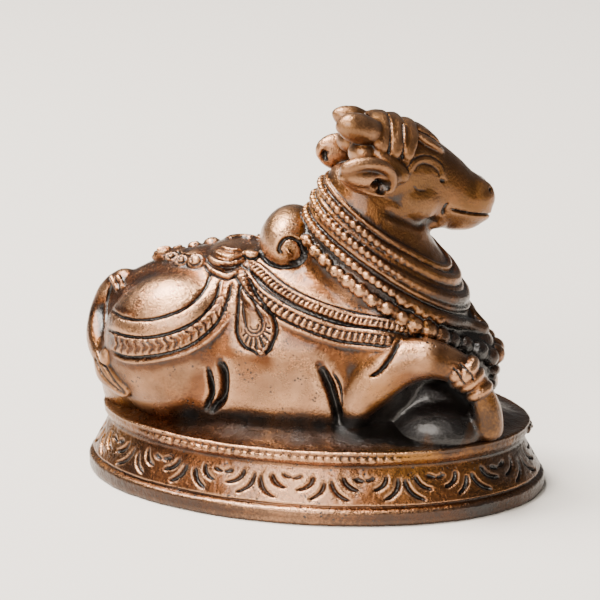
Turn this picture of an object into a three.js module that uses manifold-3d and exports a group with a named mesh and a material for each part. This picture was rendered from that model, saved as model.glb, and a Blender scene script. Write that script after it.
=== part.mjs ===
// A small cast bull at rest on an oval plinth, in antiqued copper.
// Millimetres, +X towards the bull's head, +Z up, origin under the middle of the plinth.
import * as THREE from 'three';
import { mergeVertices } from 'three/addons/utils/BufferGeometryUtils.js';
import Module from 'manifold-3d';

const wasm = await Module();
wasm.setup();

// Driving sizes of the bull.
const bullLength = 68.8; // tail to the lowest bead on the chest
const bullWidth = 33; // across the haunches
const bullHeight = 49.4; // ledge to the crown of the head

// Driving sizes of the plinth.
const endMargin = 7.2; // foot of the plinth, longer than the bull by this
const sideMargin = 15; // and wider than the bull by this
const footHeight = 2.6;
const footEdge = 0.5;
const grooveWidth = 0.7;
const grooveDepth = 1.1;
const bandSetBack = 0.7;
const bandHeight = 5.1;
const bandLean = 2.6; // the band's top is set in further than its foot by this
const rollRadius = 2.25;
const rollSetBack = 4.9; // from the foot's edge to the middle of the roll
const ledgeLip = 1.2;
const ledgeDish = 0.4; // the ledge lies this much below the top of the roll

// Carving of the plinth.
const petalCount = 16;
const petalRadii = [5.4, 3]; // outer and inner petal of each pair
const strokeWidth = 1.1;
const strokeDepth = 0.6;

// What the sizes above give.
const plinthLength = bullLength + endMargin;
const plinthWidth = bullWidth + sideMargin;
const rimGap = (plinthLength - plinthWidth) / 2;
const bandFoot = footHeight + grooveWidth;
const bandTop = bandFoot + bandHeight;
const rollHeight = bandTop + rollRadius;
const ledgeHeight = bandTop + 2 * rollRadius;

// The bull is laid out on a drawing of squares, as shares of its length, width and height. Its
// heights are counted from the ledge, and its lengths from the middle of the plinth.
const drawing = { length: 68.8, width: 33, height: 49.4 };
const drawingToBull = new THREE.Matrix4()
  .makeScale(bullLength / drawing.length, bullWidth / drawing.width, bullHeight / drawing.height)
  .setPosition(0, 0, ledgeHeight);
const headTurn = THREE.MathUtils.degToRad(25);
const headPlace = new THREE.Matrix4().makeRotationZ(headTurn).setPosition(11, 0, 0);

const alongX = new THREE.Vector3(1, 0, 0);
const sideways = new THREE.Vector3(0, 1, 0);
const upright = new THREE.Vector3(0, 0, 1);
const bothSides = [-1, 1];
const nearSide = -1;
const weld = 1e-4;
const ovalSides = 44;

// A closed geometry as a solid that can be joined and cut.
function solid(geometry, place = new THREE.Matrix4()) {
  const bare = geometry.clone().applyMatrix4(place);
  bare.deleteAttribute('normal');
  bare.deleteAttribute('uv');
  const merged = mergeVertices(bare, weld);
  const corners = merged.index.array;
  const faces = [];
  for (let i = 0; i < corners.length; i += 3) {
    const [a, b, c] = corners.slice(i, i + 3);
    if (a !== b && b !== c && c !== a) {
      faces.push(a, b, c);
    }
  }
  return new wasm.Manifold(new wasm.Mesh({
    numProp: 3,
    vertProperties: new Float32Array(merged.attributes.position.array),
    triVerts: new Uint32Array(faces),
  }));
}

function geometryOf(form) {
  const mesh = form.getMesh();
  const geometry = new THREE.BufferGeometry();
  geometry.setAttribute('position', new THREE.BufferAttribute(mesh.vertProperties, 3));
  geometry.setIndex(new THREE.BufferAttribute(mesh.triVerts, 1));
  return geometry;
}

function joined(geometries) {
  return geometries.map((geometry) => solid(geometry)).reduce((whole, next) => whole.add(next));
}

// A rounded form through a row of stations. A station is its centre, half its width, half its
// height, and half its height below the centre where that differs. The width lies along across.
function limb(stations, { sides = 12, rings = 10, endShare = 0.12, across = sideways } = {}) {
  const middle = new THREE.CatmullRomCurve3(stations.map(([x, y, z]) => new THREE.Vector3(x, y, z)));
  const girth = new THREE.CatmullRomCurve3(stations.map(([, , , wide, high = wide, low = high]) =>
    new THREE.Vector3(wide, high, low)));
  const geometry = new THREE.SphereGeometry(1, sides, rings);
  const position = geometry.attributes.position;
  for (let i = 0; i < position.count; i += 1) {
    const poleward = THREE.MathUtils.clamp(position.getY(i), -1, 1);
    const even = Math.acos(poleward) / Math.PI;
    const t = (even + (1 - poleward) / 2) / 2;
    const fromEnd = Math.min(t, 1 - t, endShare) / endShare;
    const fullness = Math.sqrt(Math.max(0, 1 - (1 - fromEnd) ** 2));
    const angle = Math.atan2(position.getZ(i), position.getX(i));
    const size = girth.getPoint(t);
    const ahead = middle.getTangent(t);
    const aside = across.clone().addScaledVector(ahead, -across.dot(ahead)).normalize();
    const above = aside.clone().cross(ahead).negate();
    const rise = Math.sin(angle);
    const point = middle.getPoint(t)
      .addScaledVector(aside, Math.cos(angle) * size.x * fullness)
      .addScaledVector(above, (rise > 0 ? size.y : size.z) * rise * fullness);
    position.setXYZ(i, point.x, point.y, point.z);
  }
  return geometry;
}

// A limb of one radius.
function cord(points, radius, options) {
  return limb(points.map(([x, y, z]) => [x, y, z, radius]), { sides: 6, endShare: 0.05, ...options });
}

function lump([x, y, z], [halfLength, halfWidth, halfHeight], { sides = 14, rings = 9, turn = 0 } = {}) {
  return new THREE.SphereGeometry(1, sides, rings)
    .rotateX(Math.PI / 2)
    .scale(halfLength, halfWidth, halfHeight)
    .rotateY(turn)
    .translate(x, y, z);
}

function bead([x, y, z], radius) {
  return new THREE.IcosahedronGeometry(radius, 0).translate(x, y, z);
}

// The same stations on the near side, which has negative widths, or on the far side.
function onSide(side, stations) {
  return stations.map(([x, y, ...rest]) => [x, -side * y, ...rest]);
}

// Plinth: every level is the foot's oval, set in by the same amount all round.

function rimPoint(angle, setBack, height) {
  const reach = plinthLength / 2 - setBack;
  return [reach * Math.cos(angle), (reach - rimGap) * Math.sin(angle), height];
}

function plinthProfile() {
  const rows = [
    [footEdge, 0],
    [0, footEdge],
    [0, footHeight - footEdge],
    [footEdge, footHeight],
    [grooveDepth, footHeight + grooveWidth / 2],
    [bandSetBack, bandFoot],
    [bandSetBack + bandLean, bandTop],
  ];
  const rollSteps = 4;
  const rollStart = -Math.PI / 4;
  const rollSweep = (Math.PI * 3) / 4;
  for (let i = 0; i <= rollSteps; i += 1) {
    const angle = rollStart + (i / rollSteps) * rollSweep;
    rows.push([rollSetBack - rollRadius * Math.cos(angle), rollHeight + rollRadius * Math.sin(angle)]);
  }
  rows.push([rollSetBack + ledgeLip, ledgeHeight - ledgeDish]);
  return rows;
}

function makePlinth() {
  const half = plinthLength / 2;
  const profile = [
    new THREE.Vector2(0, 0),
    ...plinthProfile().map(([setBack, height]) => new THREE.Vector2(half - setBack, height)),
    new THREE.Vector2(0, ledgeHeight - ledgeDish),
  ];
  const geometry = new THREE.LatheGeometry(profile, ovalSides).rotateX(Math.PI / 2);
  const position = geometry.attributes.position;
  for (let i = 0; i < position.count; i += 1) {
    const radius = Math.hypot(position.getX(i), position.getY(i));
    if (radius > weld) {
      position.setY(i, position.getY(i) * (radius - rimGap) / radius);
    }
  }
  return solid(geometry);
}

const rimSteps = 72;
const rimPoints = Array.from({ length: rimSteps }, (_, i) =>
  new THREE.Vector3(...rimPoint((i / rimSteps) * 2 * Math.PI, 0, 0)));
const rim = new THREE.CatmullRomCurve3(rimPoints, true);

// Where the sloping band's surface lies, at a share of the way round and a drop below its top.
function bandPlace(share, drop) {
  const onRim = rim.getPointAt((share + 1) % 1);
  const reach = plinthLength / 2;
  const angle = Math.atan2(onRim.y / (reach - rimGap), onRim.x / reach);
  const setBack = bandSetBack + bandLean * (1 - drop / bandHeight);
  const along = rim.getTangentAt((share + 1) % 1);
  const level = along.clone().cross(upright);
  const upSlope = upright.clone().multiplyScalar(bandHeight).addScaledVector(level, -bandLean).normalize();
  return new THREE.Matrix4()
    .makeBasis(along, upSlope, along.clone().cross(upSlope))
    .setPosition(...rimPoint(angle, setBack, bandTop - drop));
}

// One chisel stroke of a petal, widest halfway and pointed at both ends. The petal hangs from the
// top of the band, and the stroke runs round it from one turn to the other.
function petalStroke(share, radius, start, end, steps) {
  const reachDown = (bandHeight - strokeWidth) / petalRadii[0];
  const at = (reach, turn) =>
    new THREE.Vector2(reach * Math.cos(turn), -reach * Math.sin(turn) * reachDown);
  const middle = at(radius, (start + end) / 2);
  const edge = (way) => Array.from({ length: steps + 1 }, (_, i) => {
    const swell = (strokeWidth / 2) * Math.sin((i / steps) * Math.PI);
    return at(radius + way * swell, start + (i / steps) * (end - start)).sub(middle);
  });
  const shape = new THREE.Shape([...edge(1), ...edge(-1).slice(1, -1).reverse()]);
  const geometry = new THREE.ExtrudeGeometry(shape, { depth: 2 * strokeDepth, bevelEnabled: false });
  geometry.translate(0, 0, -strokeDepth);
  return geometry.applyMatrix4(bandPlace(share + middle.x / rim.getLength(), -middle.y));
}

function petalStrokes() {
  const [outer, inner] = petalRadii;
  const clear = 0.12;
  const steep = 1.3;
  return Array.from({ length: petalCount }, (_, i) => i / petalCount).flatMap((share) => [
    petalStroke(share, outer, clear, steep, 2),
    petalStroke(share, outer, Math.PI - steep, Math.PI - clear, 2),
    petalStroke(share, inner, clear, Math.PI - clear, 3),
  ]);
}

// Body, head and limbs, in squares of the drawing.

const trunk = limb([
  [-36.4, 0, 5, 3, 8, 7],
  [-33, 0, 5, 7, 13, 10],
  [-28, 0, 5, 10.6, 16.4, 12],
  [-20, 0, 5, 13.8, 19.5, 12],
  [-10, 0, 5, 16, 20.8, 12],
  [2, 0, 5, 16.6, 21, 12],
  [12, 0, 5, 14, 19, 12],
  [19, 0, 5, 9.5, 15, 12],
  [24.6, 0, 5, 6.5, 10.4, 12],
  [28.8, 0, 4, 3.6, 7, 9],
], { sides: 14, rings: 10, endShare: 0.05 });

const neck = limb([
  [13.6, 0, 3, 9, 14],
  [12.4, 0, 12, 11, 14],
  [10.6, 0, 18, 11.2, 13.9],
  [8.8, 0, 24, 10.2, 12.6],
  [8.3, 0, 29, 8.6, 11],
  [8.8, 0.3, 34, 7.2, 9.2],
  [10, 0.8, 39, 6, 7.6],
], { sides: 12, rings: 8, endShare: 0.05 });

function haunch(side) {
  return lump([-20.6, side * 7.2, 9.6], [13, 9.6, 12.6], { sides: 12, rings: 9 });
}

const hump = lump([-3.9, -0.4, 27.2], [4.9, 7.4, 5.3], { sides: 12, rings: 8, turn: 0.25 });

function shoulder(side) {
  return lump([12, side * 7.8, 9.6], [7.6, 7.6, 10.6], { sides: 10, rings: 7, turn: 0.12 });
}

const raisedForeleg = limb([
  [9.5, -12.8, -0.6, 2.4],
  [9.9, -13, 4.2, 3.3],
  [12.4, -13, 8.2, 3.5, 4.2],
  [16.2, -12.6, 11, 3.4, 4],
  [20.9, -12, 12, 3, 3.3],
  [24.7, -11, 10.8, 2.6, 2.7],
  [27.5, -10.2, 8.6, 2.3],
  [29, -9.9, 6, 2.2],
  [30, -9.7, 3.2, 2.4],
  [30.3, -9.5, 0.3, 2.4],
  [30.3, -9.4, -1.7, 2.3],
], { sides: 8, rings: 12, endShare: 0.05 });

const foldedForeleg = limb([
  [9, 11.5, 2, 3.8],
  [15, 11.8, 4.4, 3.8],
  [21, 10.2, 4.6, 3.4],
  [25.6, 7.6, 3.8, 3],
  [27.4, 4.4, 1.6, 2.6],
], { sides: 7, rings: 7 });

const brisket = limb([
  [11, -4.2, 1, 6, 8],
  [17.5, -5.4, 0.8, 6, 8.4],
  [23, -6.4, 0.6, 5, 7.6],
  [28.4, -7.4, 0, 2.6, 4.4],
], { sides: 8, rings: 6 });

const anklets = [
  [[27, -10.4, 9.2], 3.2],
  [[28.6, -10, 6.2], 2.9],
].map(([centre, radius]) => lump(centre, [radius, radius, 1.3], { sides: 7, rings: 4, turn: 0.6 }));

const tail = limb([
  [-30.4, 0, 19.6, 2, 1.6],
  [-34.2, 0, 16.6, 2.3, 1.8],
  [-35.9, -0.2, 11.4, 2.4, 1.9],
  [-35.4, -0.8, 6.8, 2.4, 1.8],
  [-33.8, -2, 3.4, 3, 2.1],
  [-32.4, -3, -0.4, 2.4, 1.6],
], { sides: 7, rings: 9 });

// Head: lengths run forward from the poll along the turned head.

const skull = limb([
  [-5, 0, 40, 4.6, 4.6],
  [-1, 0, 40.3, 6.6, 7],
  [4, 0, 38.9, 6.4, 6.2, 7.4],
  [8.5, 0, 36.4, 5.2, 5.5, 5.8],
  [12.5, 0, 34.3, 4.4, 4.6, 5.4],
  [15.8, 0, 33.5, 4.2, 3.9, 4.9],
  [18.5, 0, 33.4, 3.4, 3, 3.6],
], { sides: 12, rings: 9, endShare: 0.05 });

const mouth = cord([
  [10, -5, 32.6], [14, -4.6, 31.4], [17.8, -3, 30.5],
  [18.7, 0, 30.4],
  [17.8, 3, 30.5], [14, 4.6, 31.4], [10, 5, 32.6],
], 0.5, { sides: 3, rings: 8, across: upright });

const nearHorn = limb([
  [-1.6, -3, 45.2, 2],
  [-4, -4.4, 47, 2.2],
  [-6.4, -4.9, 47.7, 2.1],
  [-8.8, -5.1, 48.3, 1.1],
], { sides: 8, rings: 6 });

const farHorn = limb([
  [-1.2, 2.4, 45, 2],
  [-3.4, 3, 46.6, 2.1],
  [-5.4, 3, 47.4, 1.9],
  [-7.5, 2.9, 48, 0.9],
], { sides: 7, rings: 6 });

function ear(side) {
  const lobe = solid(lump([-4.6, side * 7.8, 40.3], [4.9, 2.4, 3.3], { sides: 8, rings: 5, turn: 0.2 }));
  const root = solid(lump([-0.6, side * 6.4, 39.4], [1.8, 1.8, 2], { sides: 6, rings: 4 }));
  const opening = solid(lump([-4.8, side * 10.2, 39.8], [3.4, 1.9, 2], { sides: 6, rings: 4, turn: 0.2 }));
  return lobe.add(root).subtract(opening).add(solid(bead([-1.8, side * 8.6, 38.2], 1.2)));
}

function faceSide(side) {
  return [
    lump([5.6, side * 5.7, 39.6], [1.9, 1, 1.25], { sides: 6, rings: 4, turn: 0.25 }),
    cord(onSide(side, [[2, -5.9, 40.2], [4.2, -5.8, 41.7], [6.8, -5.3, 41.5], [9, -4.8, 39.4]]), 0.55,
      { sides: 3, rings: 5 }),
    limb(onSide(side, [
      [-2.6, -5, 45.4, 1.2, 0.8],
      [-0.4, -6.3, 43.2, 1.5, 0.9],
      [1.6, -6.6, 40.6, 1.6, 0.9],
      [1.6, -6.4, 38.6, 1.2, 0.8],
    ]), { sides: 5, rings: 4, across: alongX }),
    limb(onSide(side, [
      [3.8, -1.4, 46, 1, 0.7],
      [6.6, -2, 44.6, 1.8, 0.9],
      [10, -1.2, 42.4, 0.5, 0.5],
    ]), { sides: 5, rings: 4 }),
  ];
}

const browBands = [
  [[-1.4, -6.3, 43], [-0.4, -5, 46.4], [0.3, 0, 48.1], [-0.4, 5, 46.4], [-1.4, 6.3, 43]],
  [[2, -6, 42.4], [2.8, -4.6, 45.4], [3.6, 0, 46.6], [2.8, 4.6, 45.4], [2, 6, 42.4]],
].map((points) => cord(points, 1.2, { sides: 4, rings: 7, across: alongX, endShare: 0.12 }));

const headSolid = joined([skull, nearHorn, farHorn, ...browBands, ...bothSides.flatMap(faceSide)])
  .subtract(solid(mouth))
  .add(ear(-1))
  .add(ear(1));
const head = solid(geometryOf(headSolid), headPlace);

// The flank, back and neck that the cloth, straps and beads lie on.

const body = joined([trunk, neck, haunch(-1), haunch(1), shoulder(-1), shoulder(1)]);
const bodyMesh = new THREE.Mesh(geometryOf(body), new THREE.MeshBasicMaterial());
const throatMesh = new THREE.Mesh(geometryOf(joined([trunk, neck])), new THREE.MeshBasicMaterial());
const farAway = 90;

function surfacePoint(mesh, from, towards) {
  const hits = new THREE.Raycaster(from, towards.clone().normalize()).intersectObject(mesh);
  return hits[0].point;
}

function flankPoint(x, z, side) {
  return surfacePoint(bodyMesh, new THREE.Vector3(x, side * farAway, z), new THREE.Vector3(0, -side, 0));
}

// A strap that follows the flank through a few places seen from the side.
function strap(places, width, thickness, side, steps = 6) {
  const route = new THREE.CatmullRomCurve3(places.map(([x, z]) => new THREE.Vector3(x, 0, z)));
  const stations = route.getPoints(steps).map(({ x, z }) =>
    [x, flankPoint(x, z, side).y, z, width, thickness]);
  return limb(stations, { sides: 4, rings: steps + 1, across: upright, endShare: 0.05 });
}

// A closed rope round the neck, through a place on the nape and one on the chest.
function neckLoop(nape, chest, steps) {
  const centre = new THREE.Vector3((nape[0] + chest[0]) / 2, 0, (nape[1] + chest[1]) / 2);
  const forward = new THREE.Vector3(chest[0] - nape[0], 0, chest[1] - nape[1]).normalize();
  return Array.from({ length: steps }, (_, i) => {
    const angle = (i / steps) * 2 * Math.PI;
    const outward = forward.clone()
      .multiplyScalar(Math.cos(angle))
      .addScaledVector(sideways, Math.sin(angle));
    const start = centre.clone().addScaledVector(outward, farAway);
    return { point: surfacePoint(throatMesh, start, outward.clone().negate()), outward };
  });
}

function collar(nape, chest, radius) {
  const sides = 4;
  const steps = 16;
  const spots = neckLoop(nape, chest, steps);
  const route = new THREE.CatmullRomCurve3(spots.map(({ point }) => point), true);
  const geometry = new THREE.TorusGeometry(1, 0.3, sides, steps);
  const position = geometry.attributes.position;
  for (let j = 0; j <= sides; j += 1) {
    const angle = ((j % sides) / sides) * 2 * Math.PI;
    for (let i = 0; i <= steps; i += 1) {
      const spot = spots[i % steps];
      const ahead = route.getTangent((i % steps) / steps);
      const outward = spot.outward.clone().addScaledVector(ahead, -spot.outward.dot(ahead)).normalize();
      const aside = outward.clone().cross(ahead);
      const place = spot.point.clone()
        .addScaledVector(outward, radius * Math.cos(angle))
        .addScaledVector(aside, radius * Math.sin(angle));
      position.setXYZ(j * (steps + 1) + i, place.x, place.y, place.z);
    }
  }
  return geometry;
}

const collars = [
  collar([1.9, 36], [23.4, 21.4], 1.05),
  collar([0, 34], [24.6, 18.6], 1.15),
  collar([-1.8, 31.6], [25, 15], 1.05),
];

const garland = neckLoop([-3.4, 29.4], [26.6, 11.6], 19)
  .map(({ point }) => bead([point.x, point.y, point.z], 1.5));

const chestBeads = [10.2, 7.4, 4.6, 1.8].map((z) => {
  const { x } = surfacePoint(throatMesh, new THREE.Vector3(farAway, 0, z), new THREE.Vector3(-1, 0, 0));
  return bead([x, 0, z], 1.5);
});

function clothOn(side) {
  const straps = [
    strap([[-9.2, 23.6], [-1.6, 20.3], [5.2, 17.6], [14.4, 17.2]], 0.9, 1, side),
    strap([
      [-12.9, 21.2], [-14.2, 18.8], [-16.6, 16.6], [-20, 15.2], [-25, 14.2], [-30.1, 14.4],
    ], 1.2, 1, side),
    strap([
      [-12, 18.2], [-13.8, 14.9], [-16.7, 12.8], [-21.5, 11.4], [-25.9, 11.2], [-29.2, 11.8],
    ], 1.3, 1, side),
  ];
  if (side === nearSide) {
    const lower = [[-10.1, 22.2], [-5.8, 19.9], [-1.3, 17.6], [5.4, 15.2], [14.5, 14.8]];
    straps.push(strap(lower, 0.9, 1, side));
  }
  return straps;
}

// The leaf-shaped pendant that hangs from the saddle cloth.
function pendant(side) {
  const stations = [[-10.6, 22, 0.9], [-9, 19.2, 2], [-7.4, 16.6, 3.6], [-6.4, 14.4, 3.4], [-5, 11.2, 0.6]]
    .map(([x, z, half]) => [x, flankPoint(x, z, side).y, z, half, 1.2]);
  return limb(stations, { sides: 6, rings: 7, across: alongX, endShare: 0.04 });
}

const saddle = [
  lump([-13, 0, 24.4], [5.2, 7.8, 2], { sides: 10, rings: 5 }),
  lump([-23.6, 0, 22.8], [3, 2.4, 1.4], { sides: 7, rings: 4 }),
  ...bothSides.flatMap((side) => [
    lump([-12.4, side * 7.2, 22.8], [3, 2.2, 1.8], { sides: 7, rings: 4 }),
    lump([-18.6, side * 4.6, 23.4], [2.6, 2.2, 1.5], { sides: 7, rings: 4 }),
  ]),
];

// Creases that are cut into the flank beside the legs.
function crease(places, radius, side) {
  const stations = places.map(([x, z, share = 1]) => [x, flankPoint(x, z, side).y, z, radius * share]);
  return limb(stations, { sides: 3, rings: 5, across: alongX, endShare: 0.1 });
}

function creases(side) {
  const cut = [
    crease([[-12, 10.4, 0.4], [-10.9, 7, 1], [-11.7, 4, 1], [-13.8, 1, 0.8]], 0.9, side),
    crease([[4.1, 10.8, 0.4], [5.6, 7.7, 1], [6.4, 4.4, 1], [6.8, 0.4, 1]], 0.85, side),
  ];
  if (side === nearSide) {
    cut.push(crease([[-14.2, 9.2, 0.4], [-13.4, 6, 1], [-14, 2.6, 0.5]], 0.45, side));
  }
  return cut;
}

// The curl on each side of the hump.
function humpCurl(side) {
  const stations = Array.from({ length: 9 }, (_, i) => {
    const angle = 2.6 - i * 0.62;
    const reach = 0.7 + 0.24 * i;
    const x = -3.2 + reach * Math.cos(angle);
    const z = 27.6 + reach * Math.sin(angle);
    const inside = 1 - ((x + 3.9) / 4.7) ** 2 - ((z - 27.4) / 5) ** 2;
    return [x, -0.4 + side * 7.2 * Math.sqrt(inside), z, 0.4];
  });
  return limb(stations, { sides: 3, rings: 9, across: alongX });
}

const cuts = joined([...bothSides.flatMap(creases), humpCurl(-1), humpCurl(1)]);
const figure = body
  .add(solid(hump))
  .subtract(cuts)
  .add(head)
  .add(joined([raisedForeleg, foldedForeleg, brisket, ...anklets, tail]))
  .add(joined([...collars, ...garland, ...chestBeads, ...saddle]))
  .add(joined([...bothSides.flatMap(clothOn), pendant(-1), pendant(1)]));

const plinth = makePlinth().subtract(joined(petalStrokes()));
const casting = plinth.add(solid(geometryOf(figure), drawingToBull));

const copper = new THREE.MeshStandardMaterial({ color: 0x8a5a44, roughness: 0.42, metalness: 0.9 });
const bullMesh = new THREE.Mesh(geometryOf(casting), copper);
bullMesh.name = 'nandi_bull';

const group = new THREE.Group();
group.add(bullMesh);
export default group;
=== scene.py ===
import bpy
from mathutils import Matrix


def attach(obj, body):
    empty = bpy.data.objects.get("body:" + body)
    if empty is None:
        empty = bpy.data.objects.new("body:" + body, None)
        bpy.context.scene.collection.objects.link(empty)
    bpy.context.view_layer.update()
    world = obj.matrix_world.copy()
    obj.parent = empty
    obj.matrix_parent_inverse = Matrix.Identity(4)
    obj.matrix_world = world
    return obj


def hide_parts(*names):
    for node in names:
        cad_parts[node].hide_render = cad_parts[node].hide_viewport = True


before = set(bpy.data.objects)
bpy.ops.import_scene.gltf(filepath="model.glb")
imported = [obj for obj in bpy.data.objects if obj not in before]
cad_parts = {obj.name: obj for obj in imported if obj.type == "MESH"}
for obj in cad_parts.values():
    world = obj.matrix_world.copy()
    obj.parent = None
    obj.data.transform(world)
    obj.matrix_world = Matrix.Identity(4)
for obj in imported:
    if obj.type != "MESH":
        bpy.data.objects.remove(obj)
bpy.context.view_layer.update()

import math

import bpy
import numpy as np
from mathutils import Vector, noise
from mathutils.bvhtree import BVHTree
from mathutils.kdtree import KDTree

# Everything is modelled in millimetres, with heights counted from the plinth's ledge, and turned
# into metres on the ground at the end.
ledgeHeight = 12.9
bothSides = (-1, 1)
nearSide = -1
headTurn = math.radians(25)
headForward = 11


def pick(obj):
    bpy.ops.object.select_all(action="DESELECT")
    obj.select_set(True)
    bpy.context.view_layer.objects.active = obj


def pointsOf(obj):
    flat = np.empty(len(obj.data.vertices) * 3)
    obj.data.vertices.foreach_get("co", flat)
    return flat.reshape(-1, 3)


def normalsOf(obj):
    flat = np.empty(len(obj.data.vertices) * 3, np.float32)
    obj.data.vertex_normals.foreach_get("vector", flat)
    return flat.reshape(-1, 3).astype(float)


def setPoints(obj, points):
    obj.data.vertices.foreach_set("co", np.ascontiguousarray(points, float).ravel())
    obj.data.update()


def applied(obj, kind, **settings):
    pick(obj)
    modifier = obj.modifiers.new(kind.lower(), kind)
    for key, value in settings.items():
        setattr(modifier, key, value)
    bpy.ops.object.modifier_apply(modifier=modifier.name)
    return obj


# The forms run into each other like wax, and the joints between them are rubbed down.
def fused(forms, name, voxel, rubs):
    pick(forms[0])
    for form in forms:
        form.select_set(True)
    bpy.ops.object.join()
    forms[0].name = name
    applied(forms[0], "REMESH", mode="VOXEL", voxel_size=voxel)
    return applied(forms[0], "SMOOTH", factor=0.5, iterations=rubs)


# A smooth row of values through the given ones.
def smoothRows(rows, count):
    rows = np.array(rows, float)
    padded = np.vstack([2 * rows[:1] - rows[1:2], rows, 2 * rows[-1:] - rows[-2:-1]])
    steps = np.linspace(0, len(rows) - 1, count)
    start = np.minimum(steps.astype(int), len(padded) - 4)
    t = (steps - start)[:, None]
    a, b, c, d = (padded[start + i] for i in range(4))
    bend, twist = 2 * a - 5 * b + 4 * c - d, 3 * b - a - 3 * c + d
    return 0.5 * (2 * b + (c - a) * t + bend * t ** 2 + twist * t ** 3)


def unit(rows):
    return rows / np.maximum(np.linalg.norm(rows, axis=-1, keepdims=True), 1e-9)


# A rounded form through a row of stations: centre, half width, half height and half height below.
# A station may leave out the last one or two, which are then like the one before.
def limb(stations, sides=28, rings=44, endShare=0.1, across=(0, 1, 0)):
    rows = [[*station] + [station[-1]] * (6 - len(station)) for station in stations]
    bpy.ops.mesh.primitive_uv_sphere_add(segments=sides, ring_count=rings, radius=1)
    obj = bpy.context.object
    ball = pointsOf(obj)
    poleward = np.clip(ball[:, 2], -1, 1)
    t = (np.arccos(poleward) / math.pi + (1 - poleward) / 2) / 2
    fromEnd = np.minimum(np.minimum(t, 1 - t), endShare) / endShare
    fullness = np.sqrt(np.maximum(0, 1 - (1 - fromEnd) ** 2))
    fine = 400
    middle = smoothRows(rows, fine)
    ahead = unit(np.gradient(middle[:, :3], axis=0))
    place = t * (fine - 1)
    low = np.minimum(place.astype(int), fine - 2)
    share = (place - low)[:, None]
    station = middle[low] * (1 - share) + middle[low + 1] * share
    along = unit(ahead[low] * (1 - share) + ahead[low + 1] * share)
    sideway = np.array(across, float)
    aside = unit(sideway - (along @ sideway)[:, None] * along)
    above = np.cross(along, aside)
    angle = np.arctan2(ball[:, 1], ball[:, 0])
    rise = np.sin(angle)
    height = np.where(rise > 0, station[:, 4], station[:, 5])
    points = station[:, :3] + aside * (np.cos(angle) * station[:, 3] * fullness)[:, None]
    points += above * (rise * height * fullness)[:, None]
    setPoints(obj, points)
    return obj


def lump(centre, halfSizes, turn=0, segments=32):
    bpy.ops.mesh.primitive_uv_sphere_add(
        segments=segments, ring_count=segments // 2, radius=1, location=centre,
        rotation=(0, turn, 0), scale=halfSizes)
    obj = bpy.context.object
    bpy.ops.object.transform_apply(location=True, rotation=True, scale=True)
    return obj


def meshFrom(points, faces, name, edges=()):
    mesh = bpy.data.meshes.new(name)
    mesh.from_pydata(points, edges, faces)
    obj = bpy.data.objects.new(name, mesh)
    bpy.context.scene.collection.objects.link(obj)
    return obj


# One ball is modelled, and its points are repeated at every place.
def strung(spots, radii):
    bpy.ops.mesh.primitive_ico_sphere_add(subdivisions=2, radius=1)
    pattern = bpy.context.object
    ball = pointsOf(pattern)
    faces = np.array([list(face.vertices) for face in pattern.data.polygons])
    spots = np.array(spots, float)
    radii = np.broadcast_to(np.array(radii, float), (len(spots),))
    points = (spots[:, None] + ball[None] * radii[:, None, None]).reshape(-1, 3)
    corners = (faces[None] + (np.arange(len(spots)) * len(ball))[:, None, None]).reshape(-1, 3)
    bpy.data.objects.remove(pattern)
    return meshFrom(points.tolist(), corners.tolist(), "beads")


# The head is modelled looking straight ahead, then turned to the near side and moved forward.
def toHead(spots):
    spots = np.array(spots, float)
    turned = spots.copy()
    turned[..., 0] = spots[..., 0] * math.cos(headTurn) - spots[..., 1] * math.sin(headTurn) + headForward
    turned[..., 1] = spots[..., 0] * math.sin(headTurn) + spots[..., 1] * math.cos(headTurn)
    return turned


def onHead(obj):
    setPoints(obj, toHead(pointsOf(obj)))
    return obj


# Lines are written for the near side.
def onSide(rows, side):
    return [[x, -side * y, *rest] for x, y, *rest in rows]


def surfaceOf(obj):
    return BVHTree.FromObject(obj, bpy.context.evaluated_depsgraph_get())


# The nearest places on a surface to some spots, with the surface's facing there.
def nearestOn(surface, spots):
    found = [surface.find_nearest(Vector(spot))[:2] for spot in spots]
    return np.array([place for place, _ in found]), np.array([normal for _, normal in found])


def laidOn(surface, rows, count):
    return nearestOn(surface, smoothRows(rows, count)[:, :3])


# Places and facings about a pitch apart along a line.
def evenly(spots, facing, pitch, closed=False):
    ring = np.vstack([spots, spots[:1]]) if closed else spots
    sight = np.vstack([facing, facing[:1]]) if closed else facing
    gone = np.r_[0, np.cumsum(np.linalg.norm(np.diff(ring, axis=0), axis=1))]
    count = max(2, round(gone[-1] / pitch))
    marks = np.linspace(0, gone[-1], count, endpoint=not closed)
    place = np.stack([np.interp(marks, gone, ring[:, i]) for i in range(3)], 1)
    face = unit(np.stack([np.interp(marks, gone, sight[:, i]) for i in range(3)], 1))
    return place, face


# A cord that lies round the neck and closes on itself.
def cordOn(spots, facing, radius, sides=10):
    place = spots + facing * 0.1
    ahead = unit(np.roll(place, -1, 0) - np.roll(place, 1, 0))
    aside = unit(np.cross(ahead, facing))
    above = np.cross(aside, ahead)
    angles = np.arange(sides) / sides * 2 * math.pi
    radius = np.broadcast_to(np.array(radius, float), (len(place),))
    rings = place[:, None] + radius[:, None, None] * (
        np.cos(angles)[None, :, None] * aside[:, None] + np.sin(angles)[None, :, None] * above[:, None])
    faces = []
    for i in range(len(place)):
        here, there = i * sides, (i + 1) % len(place) * sides
        for j in range(sides):
            after = (j + 1) % sides
            faces.append((here + j, here + after, there + after, there + j))
    return meshFrom(rings.reshape(-1, 3).tolist(), faces, "cord")


# Strokes of a chisel or a modelling tool are placed on the skin at rest, so they add up where they
# cross. Ink is the dark polish that stays in a stroke.
def carving(obj):
    rest = pointsOf(obj)
    return {"rest": rest, "points": rest.copy(), "normals": normalsOf(obj), "ink": np.zeros(len(rest))}


def roundEdge(share):
    return 0.5 + 0.5 * np.cos(math.pi * share)


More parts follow.
